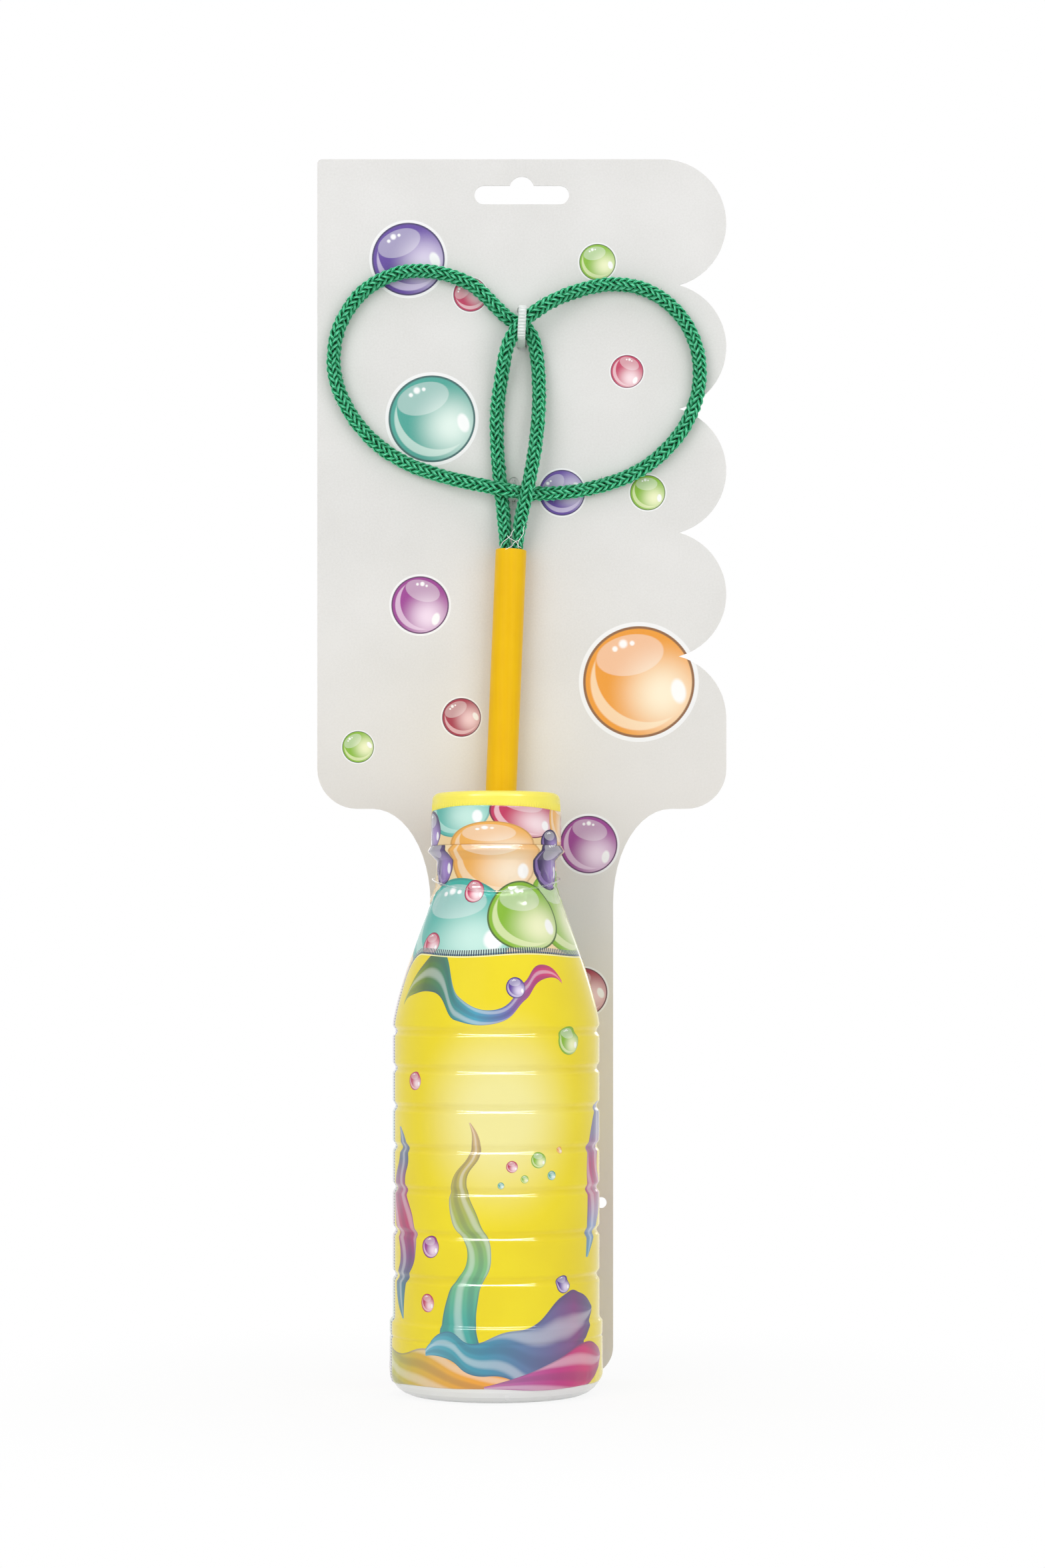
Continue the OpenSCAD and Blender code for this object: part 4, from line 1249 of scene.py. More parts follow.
@dataclass
class RopeRing:
    """The braided rope: out of the handle, round both loops and back into the handle."""

    diameter: float = 4.4 * MM
    squeezed: float = 3.9 * MM
    lay: float = 18.9 * MM
    steps_per_turn: int = 35
    carriers: int = 8
    bulk: float = 0.6 * MM
    strand_w: float = 1.05 * MM
    strand_t: float = 0.95 * MM
    weave: float = 0.38 * MM
    sway: float = 0.27
    swell: float = 0.24 * MM
    plumpness: float = 0.3
    unevenness: float = 0.28
    strand_sides: int = 6
    core_share: float = 0.62
    core_sides: int = 10
    fuzz_density: float = 120000.0
    fuzz_length: float = 0.9 * MM
    fuzz_root_r: float = 0.07 * MM
    fuzz_tip_r: float = 0.012 * MM
    fuzz_slant: float = 0.9
    fuzz_least: float = 0.4
    fuzz_most: float = 1.3
    # lift value of the fibres, which gives them painted light so that they show pale
    fuzz_painted_light: float = 0.95
    fuzz_seed: int = 7
    mouth_depth: float = 19.2 * MM
    swell_out: float = 8 * MM
    end_zone: float = 40 * MM
    line: np.ndarray = field(init=False)
    length: float = field(init=False)
    spacing: float = field(init=False)

    def __post_init__(self) -> None:
        """Work out the rope's centre line and length."""
        mouth = np.array(TUBE_MOUTH)
        self.spacing = self.lay / self.steps_per_turn
        self.line = smooth_route([mouth + np.array(p) * MM for p in ROPE_ROUTE], self.spacing)
        self.length = float(np.linalg.norm(np.diff(self.line, axis=0), axis=1).sum())

    def squeeze(self) -> np.ndarray:
        """Share of the full diameter at each point, less inside the handle.

        Returns:
            The share at each point of the centre line.
        """
        height = (self.line[:, 2] - TUBE_MOUTH[2]) / self.swell_out
        steps = np.arange(len(self.line))
        ends = np.minimum(steps, steps[::-1]) * self.spacing < self.end_zone
        open_share = np.where(ends, np.clip(height, 0, 1), 1.0)
        least = self.squeezed / (self.diameter + self.bulk)
        return least + (1 - least) * open_share

    def braid(self) -> bpy.types.Object:
        """Make the strands, which wind both ways over and under each other round a core.

        Returns:
            The strands as one object.
        """
        heading, side, lift = route_frames(self.line, (0, 1, 0))
        steps = len(self.line)
        share = self.squeeze()
        base_r = (self.diameter + self.bulk) / 2 - self.weave - self.strand_t / 2
        turn = math.tau * np.arange(steps) * (self.length / (steps - 1)) / self.lay
        across = math.pi / 2 + np.linspace(0, math.tau, self.strand_sides, endpoint=False)
        vertices, faces, painted_light_levels = [], [], []
        for way in (1, -1):
            for k in range(self.carriers):
                offset = math.tau / self.carriers * (k + (0.5 if way < 0 else 0.0))
                phi = way * turn + offset
                wave = way * np.cos(self.carriers / 2 * phi)
                uneven = self.drift(steps, 2 * k + (way > 0))
                phi = phi + self.sway * uneven[0]
                radius = (base_r + self.weave * wave + self.swell * uneven[1]) * share
                outward = np.cos(phi)[:, None] * side + np.sin(phi)[:, None] * lift
                centre = self.line + radius[:, None] * outward
                forward = np.gradient(centre, axis=0)
                forward /= np.linalg.norm(forward, axis=1)[:, None]
                flank = np.cross(outward, forward)
                flank /= np.linalg.norm(flank, axis=1)[:, None]
                top = np.cross(forward, flank)
                start = len(vertices) * steps * self.strand_sides
                half_w = (self.strand_w / 2 * share * (1 + self.plumpness * uneven[2]))[:, None, None]
                half_t = (self.strand_t / 2 * share)[:, None, None]
                ring = (centre[:, None, :] + np.cos(across)[None, :, None] * flank[:, None, :] * half_w
                        + np.sin(across)[None, :, None] * top[:, None, :] * half_t)
                vertices.append(ring.reshape(-1, 3))
                faces.extend(tuple(start + n for n in face) for face in tube_faces(steps, self.strand_sides))
                # how far each point lies on top, for painted shade under and between the strands and painted
                # light on their tops
                painted_light_levels.append((0.42 + 0.28 * wave[:, None] + 0.42 * np.sin(across)[None, :]).reshape(-1))
        rope = mesh_object("braided_rope", np.vstack(vertices), faces)
        self.mark_strands(rope, steps, np.concatenate(painted_light_levels))
        return rope

    def drift(self, steps: int, strand: int) -> np.ndarray:
        """Slow chance changes of one strand, between -1 and 1.

        Args:
            steps: number of places along the rope.
            strand: number of the strand.

        Returns:
            One row each for the strand's side place, height and width.
        """
        rows = [[noise.noise(Vector((step * self.unevenness, 7.3 * strand, 40.0 * row)))
                 for step in range(steps)] for row in range(3)]
        return np.array(rows)

    def mark_strands(self, rope: bpy.types.Object, steps: int, lift: np.ndarray) -> None:
        """Give the strands their lengthwise and crosswise coordinates and how far they lie on top, which the
        material turns into painted shade and light.

        Args:
            rope: the strands as one object.
            steps: number of rings in a strand.
            lift: how far each point lies on top, for the painted shade and light.
        """
        mesh = rope.data
        attribute = mesh.attributes.new("lift", "FLOAT", "POINT")
        attribute.data.foreach_set("value", lift.astype(np.float32))
        sides = self.strand_sides
        numbers = np.zeros(len(mesh.loops), dtype=np.int64)
        mesh.loops.foreach_get("vertex_index", numbers)
        along = (numbers // sides) % steps * (self.length / (steps - 1)) / MM
        around = (numbers % sides) / sides
        layer = mesh.uv_layers.new(name="strand")
        layer.data.foreach_set("uv", np.column_stack([along, around]).astype(np.float32).reshape(-1))

    def core(self) -> bpy.types.Object:
        """Make the plain core that closes the gaps between the strands. It has no lift values, so the rope's
        material gives it the dark painted gap shade.
        """
        section = round_section(self.core_sides, self.diameter / 2 * self.core_share)
        return sweep("rope_core", self.line, (0, 1, 0), section, self.squeeze())

    def fuzz(self, rope: bpy.types.Object, material: bpy.types.Material) -> bpy.types.Object:
        """Make the loose fibres that stand out of the braid.

        Args:
            rope: the strands, which stay as they are.
            material: the fibres' finish.

        Returns:
            The fibres as one object.
        """
        base = add_object("rope_fuzz_base", rope.data.copy())
        return Recipes.fuzz().bake("rope_fuzz", base, {
            "Density": self.fuzz_density, "Seed": self.fuzz_seed, "Fibre Length": self.fuzz_length,
            "Root Radius": self.fuzz_root_r, "Tip Radius": self.fuzz_tip_r, "Slant": self.fuzz_slant,
            "Least Share": self.fuzz_least, "Most Share": self.fuzz_most, "Lift": self.fuzz_painted_light,
            "Material": material})

    def build(self) -> list[bpy.types.Object]:
        """Returns:
            The rope's pieces.
        """
        cotton = RopeCotton().make()
        rope, core = self.braid(), self.core()
        fuzz = self.fuzz(rope, cotton)
        # the core has no lift values, so it shows the painted shade of the gaps
        for piece in (rope, core):
            piece.data.materials.append(cotton)
        for piece in (rope, core, fuzz):
            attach(piece, "wand")
        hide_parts("ring_rope")
        return [rope, core, fuzz]


@dataclass
class Handle:
    """The plain tube with rounded lips and the hot-melt that holds the rope in its mouth.

    Each thread of hot-melt has its start, its end and its sag, in millimetres from the mouth's middle.
    """

    radius: float = 5.2 * MM
    wall: float = 1.0 * MM
    length: float = 122 * MM
    lean: float = 0.0417
    lip: float = 0.4 * MM
    lip_steps: int = 4
    outer_rows: int = 30
    inner_rows: int = 12
    sides: int = 96
    threads: tuple[tuple[Point3, Point3, float], ...] = (
        ((-3.9, -3.6, 0.2), (1.2, -4.6, 6.4), 1.4), ((3.6, -3.8, 0.3), (-1.4, -4.4, 4.2), 0.9),
        ((-1.5, -5.0, -0.6), (2.6, -4.7, 3.0), 0.7), ((2.0, -4.9, 0.1), (4.4, -4.0, 7.6), 1.1))
    thread_points: int = 14
    thread_bow: float = 0.6
    thread_wave: float = 0.35
    thread_bends: float = 9.0
    thread_r: float = 0.11 * MM
    thread_sides: int = 6

    def place(self) -> Matrix:
        """Turn and shift from the tube's own axis to the leaning tube, with its mouth at z = 0."""
        return Matrix.Translation(TUBE_MOUTH) @ Matrix.Rotation(math.atan(self.lean), 4, "Y")

    def lip_arc(self, radius: float, end: float, outside: bool) -> list[Point2]:
        """Rounded lip at one end of one wall face, from the end face to the wall.

        Args:
            radius: radius of the wall's face.
            end: height of the tube's end.
            outside: the face is the tube's outer one.

        Returns:
            Radius and height of each point.
        """
        side = -1 if outside else 1
        way = 1 if end < 0 else -1
        angles = [math.pi / 2 * k / self.lip_steps for k in range(self.lip_steps + 1)]
        return [(radius + side * self.lip * (1 - math.sin(a)), end + way * self.lip * (1 - math.cos(a)))
                for a in angles]

    def tube(self) -> bpy.types.Object:
        """Make the tube with a rounded lip at each end.

        Returns:
            The tube.
        """
        outer, inner = self.radius, self.radius - self.wall
        profile = self.lip_arc(outer, -self.length, True)
        profile += [(outer, -self.length * (1 - k / self.outer_rows)) for k in range(1, self.outer_rows)]
        profile += self.lip_arc(outer, 0.0, True)[::-1]
        profile += self.lip_arc(inner, 0.0, False)
        profile += [(inner, -self.length * k / self.inner_rows) for k in range(1, self.inner_rows)]
        profile += self.lip_arc(inner, -self.length, False)[::-1]
        tube = lathe("handle_skin", profile, self.sides)
        tube.data.transform(self.place())
        return tube

    def strings(self, material: bpy.types.Material) -> bpy.types.Object:
        """Make the white threads that the hot-melt left over the mouth.

        Args:
            material: the threads' finish.

        Returns:
            The threads as one object.
        """
        lines = []
        for start, end, sag in self.threads:
            share = np.linspace(0, 1, self.thread_points)[:, None]
            line = (1 - share) * np.array(start) + share * np.array(end)
            line[:, 1] -= sag * (4 * share * (1 - share))[:, 0] * self.thread_bow
            line[:, 0] += self.thread_wave * np.sin(share[:, 0] * self.thread_bends + start[0])
            lines.append(line * MM)
        threads = Recipes.cord().bake("glue_threads", path_mesh("glue_paths", lines), {
            "Radius": self.thread_r, "Sides": self.thread_sides, "Material": material})
        threads.data.transform(self.place())
        return threads

    def build(self) -> list[bpy.types.Object]:
        """Make the handle's pieces.

        Returns:
            The tube, the glue plug and its threads.
        """
        amber = SatinPlastic("tube_plastic", "F2C000", "EEB800", roughness=0.36, lines=(1500.0, 1500.0, 12.0),
                             shine=0.2).make()
        glue = ClearPlastic("hot_melt", "F4F1E4", roughness=0.35, clearness=0.35, grain=900.0).make()
        white = ClearPlastic("hot_melt_threads", "FAFAF4", roughness=0.3, clearness=0.05, grain=900.0).make()
        tube, threads = self.tube(), self.strings(white)
        tube.data.materials.append(amber)
        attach(tube, "wand")
        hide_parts("handle_tube")
        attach(threads, "wand")
        return [tube, dress("tube_glue", glue), threads]


@dataclass(frozen=True)
class TieSize:
    """Place and size of one clear tie.

    The span is the height between its two holes, and the reach is how far it stands off the card. The press
    shortens its front at both ends, and the shift moves that front up.
    """

    name: str
    x: float
    z: float
    span: float
    reach: float
    lean: float
    press: float
    shift: float
    width: float
    thickness: float
    ridged: bool


TOP_TIE = TieSize("top_tie", x=8.5 * MM, z=355.5 * MM, span=12 * MM, reach=11.3 * MM, lean=0.05,
                  press=1.5 * MM, shift=0.8 * MM, width=2.7 * MM, thickness=1.1 * MM, ridged=True)
LOW_TIE = TieSize("low_tie", x=5.7 * MM, z=299.7 * MM, span=7.8 * MM, reach=9.2 * MM, lean=-0.03,
                  press=0.3 * MM, shift=0.0, width=1.1 * MM, thickness=0.6 * MM, ridged=False)


@dataclass
class Ties:
    """The two clear straps round the rope, the upper one ridged, with their lock housings behind the card."""

    sizes: tuple[TieSize, ...] = (TOP_TIE, LOW_TIE)
    gap: float = 0.4 * MM
    bend: float = 2.2 * MM
    edge: float = 0.28 * MM
    spacing: float = 0.4 * MM
    leg_shares: tuple[float, ...] = (0.0, 0.25, 0.5, 0.75, 1.0)
    bend_start: float = 0.15
    bend_points: int = 8
    back_corner: float = 0.9 * MM
    lock: Point3 = (4.4 * MM, 3.6 * MM, 5.0 * MM)
    lock_edge: float = 0.5 * MM
    lock_rows: tuple[Point2, ...] = ((-0.5, 0.82), (-0.46, 0.94), (-0.38, 1.0), (0.0, 1.0), (0.38, 1.0),
                                     (0.46, 0.94), (0.5, 0.82))
    pad_r: float = 2.2 * MM
    pad_start: float = 0.05 * MM
    pad_depth: float = 0.5 * MM
    pad_rows: tuple[float, ...] = (0.9, 1.0, 1.0, 1.0, 0.9)
    pad_sides: int = 28
    ridge_pitch: float = 1.05 * MM
    ridge_r: float = 0.27 * MM
    ridge_sink: float = 0.02 * MM
    ridge_inset: float = 0.2 * MM
    plain_ends: int = 14

    def arch(self, tie: TieSize, offset: float) -> np.ndarray:
        """Middle line of the arch in front of the card.

        Args:
            tie: the tie's place and size.
            offset: how far outwards the line is moved.

        Returns:
            Evenly spaced points from the lower hole to the upper one.
        """
        foot = tie.span / 2
        half = foot - tie.press + offset
        front = CARD_FRONT_Y - tie.reach - self.gap + tie.thickness / 2 - offset
        back = CARD_FRONT_Y - self.gap
        bend = self.bend - tie.thickness / 2 + offset
        knee = front + bend + self.gap
        points = [(back + (knee - back) * share, -foot + (foot - half) * share) for share in self.leg_shares]
        points += [(front + bend - bend * math.sin(a), -half + bend - bend * math.cos(a))
                   for a in np.linspace(self.bend_start, math.pi / 2, self.bend_points)]
        points += [(y, -z) for y, z in points[::-1]]
        line = smooth_route([(0.0, y, z) for y, z in points], self.spacing)
        line[:, 0] = tie.x + tie.lean * line[:, 2]
        line[:, 2] += tie.z + tie.shift * np.clip((back - line[:, 1]) / tie.reach, 0, 1)
        return line

    def housing(self, tie: TieSize) -> bpy.types.Object:
        """Make the legs in the card's holes, the strap's back, its pads and its rounded lock housing.

        Args:
            tie: the tie's place and size.

        Returns:
            All that lies behind the card's front, as one object.
        """
        half = tie.span / 2
        rear = CARD_BACK_Y + self.gap + tie.thickness / 2
        corner = self.back_corner
        route = [(CARD_FRONT_Y, -half), (rear - corner, -half), (rear, -half + corner)]
        route += [(y, -z) for y, z in route[::-1]]
        line = smooth_route([(tie.x, y, tie.z + z) for y, z in route], self.spacing)
        strap = sweep(f"{tie.name}_back", line, (1, 0, 0), strap_section(tie.width, tie.thickness, self.edge))
        width, depth, height = self.lock
        middle = CARD_BACK_Y + self.gap + depth / 2
        rows = []
        for share, shrink in self.lock_rows:
            section = strap_section(width * shrink, depth * shrink, self.lock_edge)
            rows.append([(tie.x + p[0], middle + p[1], tie.z + share * height) for p in section])
        points = np.array(rows).reshape(-1, 3)
        block = mesh_object(f"{tie.name}_block", points, tube_faces(len(rows), len(rows[0])))
        pads = [self.pad(tie, z) for z in (-half, half)]
        return join_pieces(f"{tie.name}_housing", [strap, block] + pads)

    def pad(self, tie: TieSize, z: float) -> bpy.types.Object:
        """Make the thin round pad that the strap widens to behind one of the card's holes.

        Args:
            tie: the tie's place and size.
            z: height of the hole over the tie's middle.

        Returns:
            The pad.
        """
        depths = np.linspace(self.pad_start, self.pad_depth, len(self.pad_rows))
        line = np.array([(tie.x, CARD_BACK_Y + depth, tie.z + z) for depth in depths])
        section = round_section(self.pad_sides, self.pad_r)
        return sweep(f"{tie.name}_pad", line, (1, 0, 0), section, np.array(self.pad_rows))

    def build(self) -> list[bpy.types.Object]:
        """Make both ties.

        Returns:
            The strap and the housing of each tie, and the ridges of the upper one.
        """
        # the ridges take a milkier copy of the strap's nylon, so they show pale lines: painted highlight on
        # the same plastic
        painted_highlight_nylon = ClearPlastic("nylon_ridges_painted_highlight", "F6FBF8", roughness=0.12, clearness=0.1,
                             grain=700.0).make()
        nylon = ClearPlastic("clear_nylon", "E2F0E9", roughness=0.1, clearness=0.35, ior=1.3,
                             grain=700.0).make()
        faint = ClearPlastic("clear_low_tie", "F8FAFA", roughness=0.04, clearness=1.0, ior=1.14,
                             relief=0.01 * MM, grain=300.0).make()
        behind = ClearPlastic("lock_nylon", "D9DAD6", roughness=0.2, clearness=0.1, grain=700.0).make()
        pieces = []
        for tie, plastic in zip(self.sizes, (nylon, faint)):
            loop = sweep(f"{tie.name}_strap", self.arch(tie, 0.0), (1, 0, 0),
                         strap_section(tie.width, tie.thickness, self.edge))
            loop.data.materials.append(plastic)
            housing = self.housing(tie)
            housing.data.materials.append(behind)
            parts = [(loop, "wand"), (housing, "card")]
            if tie.ridged:
                parts.append((self.ridges(tie, painted_highlight_nylon), "wand"))
            for piece, body in parts:
                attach(piece, body)
                pieces.append(piece)
            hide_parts(f"{tie.name}_loop")
            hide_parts(f"{tie.name}_lock")
        return pieces

    def ridges(self, tie: TieSize, material: bpy.types.Material) -> bpy.types.Object:
        """Make the cross ridges on the outside of a tie's arch.

        Args:
            tie: the tie's place and size.
            material: the ridges' finish.

        Returns:
            The ridges as one object.
        """
        line = self.arch(tie, tie.thickness / 2 - self.ridge_sink)[self.plain_ends:-self.plain_ends]
        return Recipes.ridges().bake(f"{tie.name}_ridges", path_mesh("ridge_path", [line]), {
            "Pitch": self.ridge_pitch, "Bar Radius": self.ridge_r, "Bar Length": tie.width - self.ridge_inset,
            "Material": material})


def join_pieces(name: str, parts: Sequence[bpy.types.Object]) -> bpy.types.Object:
    """Join the meshes of several objects into one object.

    Args:
        name: name of the result.
        parts: the objects, which are removed.

    Returns:
        The new object.
    """
    vertices, faces = [], []
    for part in parts:
        start = len(vertices)
        vertices += [tuple(v.co) for v in part.data.vertices]
        faces += [tuple(start + n for n in p.vertices) for p in part.data.polygons]
        bpy.data.objects.remove(part)
    return mesh_object(name, np.array(vertices), faces)


@dataclass
class NeckLine:
    """The thin clear line round the bottle's neck, and its knot behind the card."""

    radius: float = 0.26 * MM
    hole_x: float = 6.6 * MM
    hole_z: float = 170.5 * MM
    gap: float = 0.1 * MM
    sides: int = 12
    spacing: float = 0.8 * MM
    knot_r: float = 0.85 * MM
    knot_steps: int = 24
    knot_out: float = 0.5 * MM
    knot_wave: float = 0.45 * MM
    knot_spacing: float = 0.25 * MM
    corner: float = 0.5 * MM
    corner_rise: float = 0.3 * MM
    straight_x: float = 2.6 * MM

    def knot_line(self) -> np.ndarray:
        """Route of the line's ends: through one hole, round the knot and back through the other hole.

        Returns:
            Evenly spaced points, with a trefoil in their middle.
        """
        rear = CARD_BACK_Y + self.gap + self.radius
        leaf = self.knot_r / 2.2
        turns = []
        for step in range(1, self.knot_steps):
            a = math.tau * step / self.knot_steps
            turns.append((leaf * (math.sin(a) + 2 * math.sin(2 * a)),
                          rear + self.knot_out + self.knot_wave * math.sin(3 * a),
                          self.hole_z + leaf * (math.cos(a) - 2 * math.cos(2 * a))))
        start = [(-self.hole_x, CARD_FRONT_Y, self.hole_z),
                 (-self.hole_x, rear - self.corner_rise, self.hole_z),
                 (-self.hole_x + self.corner, rear, self.hole_z), (-self.straight_x, rear, self.hole_z)]
        end = [(-p[0], p[1], p[2]) for p in start[::-1]]
        return smooth_route(start + turns + end, self.knot_spacing)

    def build(self) -> list[bpy.types.Object]:
        """Make the line and its knot.

        Returns:
            Both pieces.
        """
        nylon = ClearPlastic("clear_line", "F8FAFA", roughness=0.05, clearness=0.95, ior=1.2,
                             relief=0.01 * MM, grain=200.0).make()
        recipe = Recipes.cord()
        route = [(x * MM, y * MM, SUPPORT_RING_Z + z * MM) for x, y, z in LINE_ROUTE]
        around = smooth_route(route, self.spacing)
        pieces = []
        for name, line, body, node in (("neck_cord", around, "bottle", "neck_line"),
                                       ("neck_cord_knot", self.knot_line(), "card", "neck_line_knot")):
            piece = recipe.bake(name, path_mesh(f"{name}_path", [line]),
                                {"Radius": self.radius, "Sides": self.sides, "Material": nylon})
            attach(piece, body)
            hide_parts(node)
            pieces.append(piece)
        return pieces


def lemon_plastic() -> bpy.types.Material:
    """The plastic that the cap and the tamper band share, made once."""
    return bpy.data.materials.get(CAP_PLASTIC.name) or CAP_PLASTIC.make()


@dataclass(frozen=True)
class BottleForm:
    """Outline of the sleeved bottle in millimetres, with the values of the source."""

    body_r: float = 33.9
    base_r: float = 34.9
    heel_r: float = 8.0
    band_h: float = 25.6
    step_h: float = 1.8
    crease_z: float = 19.4
    crease_depth: float = 0.35
    crease_half: float = 0.8
    body_h: float = 121.0
    rib_count: int = 7
    rib_drop: float = 2.2
    rib_foot_gap: float = 13.7
    rib_growth: float = 0.5
    rib_depth: float = 0.9
    rib_half: float = 2.0
    shoulder_h: float = 45.0
    neck_r: float = 19.4
    neck_h: float = 10.6
    ring_slope_h: float = 2.4
    ring_r: float = 21.7
    ring_h: float = 2.2
    ring_bulge: float = 0.73
    ring_crest: float = 0.4
    sleeve_z: float = 5.0
    power: float = 1.25

    def rib_heights(self) -> list[float]:
        """Height of each rib.

        Returns:
            The heights, from the top rib down.
        """
        gaps = self.rib_count - 1
        zone = self.body_h - self.rib_drop - self.rib_foot_gap - self.band_h
        pitch = (zone - self.rib_growth * gaps * (gaps - 1) / 2) / gaps
        return [self.body_h - self.rib_drop - pitch * i - self.rib_growth * i * (i - 1) / 2
                for i in range(self.rib_count)]

    @property
    def ring_z(self) -> float:
        """Height of the support ring's foot."""
        return self.body_h + self.shoulder_h + self.neck_h

    def radius(self, z: np.ndarray) -> np.ndarray:
        """Outer radius of the sleeved bottle, up to the support ring.

        Args:
            z: heights.

        Returns:
            The radius at each height.
        """
        drop = np.clip(self.heel_r - z, 0, self.heel_r)
        heel = self.base_r - self.heel_r + np.sqrt(np.maximum(self.heel_r ** 2 - drop ** 2, 0))
        crease = self.crease_depth * np.clip(1 - np.abs(z - self.crease_z) / self.crease_half, 0, 1)
        step = np.clip((z - self.band_h + self.step_h) / self.step_h, 0, 1)
        foot = heel - crease - (self.base_r - self.body_r) * step * step * (3 - 2 * step)
        ribs = np.zeros_like(z)
        for middle in self.rib_heights():
            near = np.clip(np.abs(z - middle) / self.rib_half, 0, 1)
            ribs += self.rib_depth * (1 + np.cos(math.pi * near)) / 2
        share = np.clip((z - self.body_h) / self.shoulder_h, 0, 1)
        shoulder = self.neck_r + (self.body_r - self.neck_r) * (1 - share ** self.power)
        slope = np.clip((z - self.ring_z + self.ring_slope_h) / self.ring_slope_h, 0, 1)
        ring_share = np.clip((z - self.ring_z) / self.ring_h, 0, 1)
        rise = np.clip(ring_share / self.ring_crest, 0, 1)
        fall = np.clip((1 - ring_share) / (1 - self.ring_crest), 0, 1)
        bulge = self.ring_bulge * np.sin(rise * math.pi / 2) * fall
        upper = shoulder + (self.ring_r - self.neck_r) * slope + bulge
        return np.where(z < self.body_h, foot - ribs, upper)

    def heights(self) -> np.ndarray:
        """Heights of the sleeve's rings, close together where the outline bends.

        Returns:
            The heights, from the hem up. Each mark starts a zone and gives the pitch of its rings.
        """
        marks = [(self.sleeve_z, 0.5), (self.heel_r, 1.2), (self.crease_z - 1.2, 0.3),
                 (self.crease_z + 1.2, 1.0), (self.band_h - self.step_h - 0.6, 0.3), (self.band_h + 0.6, 1.4)]
        for middle in self.rib_heights()[::-1]:
            marks += [(middle - self.rib_half - 0.2, 0.35), (middle + self.rib_half + 0.2, 1.6)]
        marks += [(self.body_h + 1, 1.0), (self.ring_z - 20, 0.55),
                  (self.ring_z - self.ring_slope_h - 0.4, 0.3), (self.ring_z + self.ring_h, 0.3)]
        rows = []
        for (low, pitch), (high, _) in zip(marks, marks[1:]):
            rows += list(np.linspace(low, high, max(2, round((high - low) / pitch) + 1))[:-1])
        rows.append(marks[-1][0])
        return np.array(rows)


@dataclass
class Bottle:
    """The sleeved bottle with its liquid: a printed film with ribs, creases and folds."""

    form: BottleForm = field(default_factory=BottleForm)
    film: float = 0.2
    film_shrink: float = 0.03
    lip_h: float = 0.3
    lip_edge: float = 0.02
    fold: float = 0.48
    fold_limit: float = 0.5
    neck_folds: Point2 = (166.0, 7.0)
    foot_folds: Point2 = (8.0, 5.0)
    foot_share: float = 0.3
    fold_turn: float = 0.4
    fold_least: float = 0.35
    hem_high: float = 9.0
    hem_wave: float = 0.35
    sides: int = 240

    def relief(self, heights: np.ndarray) -> np.ndarray:
        """Outward folds of the shrunk film, strongest at the neck.

        Args:
            heights: height of each ring, in millimetres.

        Returns:
            One row of outward offsets for each ring, in metres.
        """
        angles = np.linspace(0, math.tau, self.sides, endpoint=False)
        neck_z, neck_reach = self.neck_folds
        foot_z, foot_reach = self.foot_folds
        rows = []
        for z in heights:
            neck = math.exp(-((z - neck_z) / neck_reach) ** 2)
            foot = self.foot_share * math.exp(-((z - foot_z) / foot_reach) ** 2)
            row = []
            for a in angles:
                side = self.fold_least + (1 - self.fold_least) * math.cos(a + self.fold_turn) ** 2
                crease = noise.noise(Vector((math.cos(a) * 3.2, math.sin(a) * 3.2, z * 0.2)))
                fine = noise.noise(Vector((math.cos(a) * 7.0, math.sin(a) * 7.0, z * 0.13 + 9)))
                ridge = max(0.0, 1 - 5 * abs(crease)) + 0.8 * max(0.0, 1 - 5 * abs(fine))
                row.append(ridge * (neck * side + foot))
            rows.append(row)
        return np.array(rows) * self.fold * MM

    def sleeve(self) -> bpy.types.Object:
        """Make the printed sleeve as a closed skin with its folds outwards only.

        Returns:
            The sleeve, with a third as many rings inside as outside.
        """
        heights = self.form.heights()
        top_z = heights[-1] + self.lip_h
        radius = self.form.radius(heights)
        outer = np.column_stack([radius, heights])
        top = np.array([[self.form.ring_r - self.lip_edge, top_z],
                        [self.form.ring_r - self.film + self.lip_edge, top_z]])
        keep = np.concatenate([np.arange(0, len(heights) - 1, 3), [len(heights) - 1]])
        inner = np.column_stack([radius[keep] - self.film + self.film_shrink, heights[keep]])[::-1]
        profile = np.vstack([outer, top, inner]) * MM
        relief = np.zeros((len(profile), self.sides))
        relief[:len(heights)] = np.clip(self.relief(heights), 0, self.fold_limit * MM)
        sleeve = lathe("printed_sleeve", profile, self.sides, relief)
        zone = self.hem_high - self.form.sleeve_z
        for vertex in sleeve.data.vertices:
            share = max(0.0, 1 - (vertex.co.z / MM - self.form.sleeve_z) / zone)
            turn = math.atan2(vertex.co.y, vertex.co.x)
            vertex.co.z += self.hem_wave * MM * share * (math.sin(turn * 3 + 1) + 0.5 * math.sin(turn * 7))
        return sleeve

    def build(self) -> list[bpy.types.Object]:
        """Make the bottle's pieces.

        Returns:
            The shell, the liquid, the sleeve and the tamper band.
        """
        clear = ClearPlastic("clear_bottle", "FCFDFA", roughness=0.2, clearness=0.12, grain=60.0)
        liquid = ClearPlastic("liquid", "F2F7F6", roughness=0.02, clearness=0.95, ior=1.34, grain=25.0)
        sleeve = self.sleeve()
        sleeve.data.materials.append(BODY_FILM.make())
        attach(sleeve, "bottle")
        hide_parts("body_sleeve")
        lemon = lemon_plastic()
        return [dress("bottle_shell", clear.make()), dress("bubble_liquid", liquid.make()), sleeve,
                dress("tamper_band", lemon)]


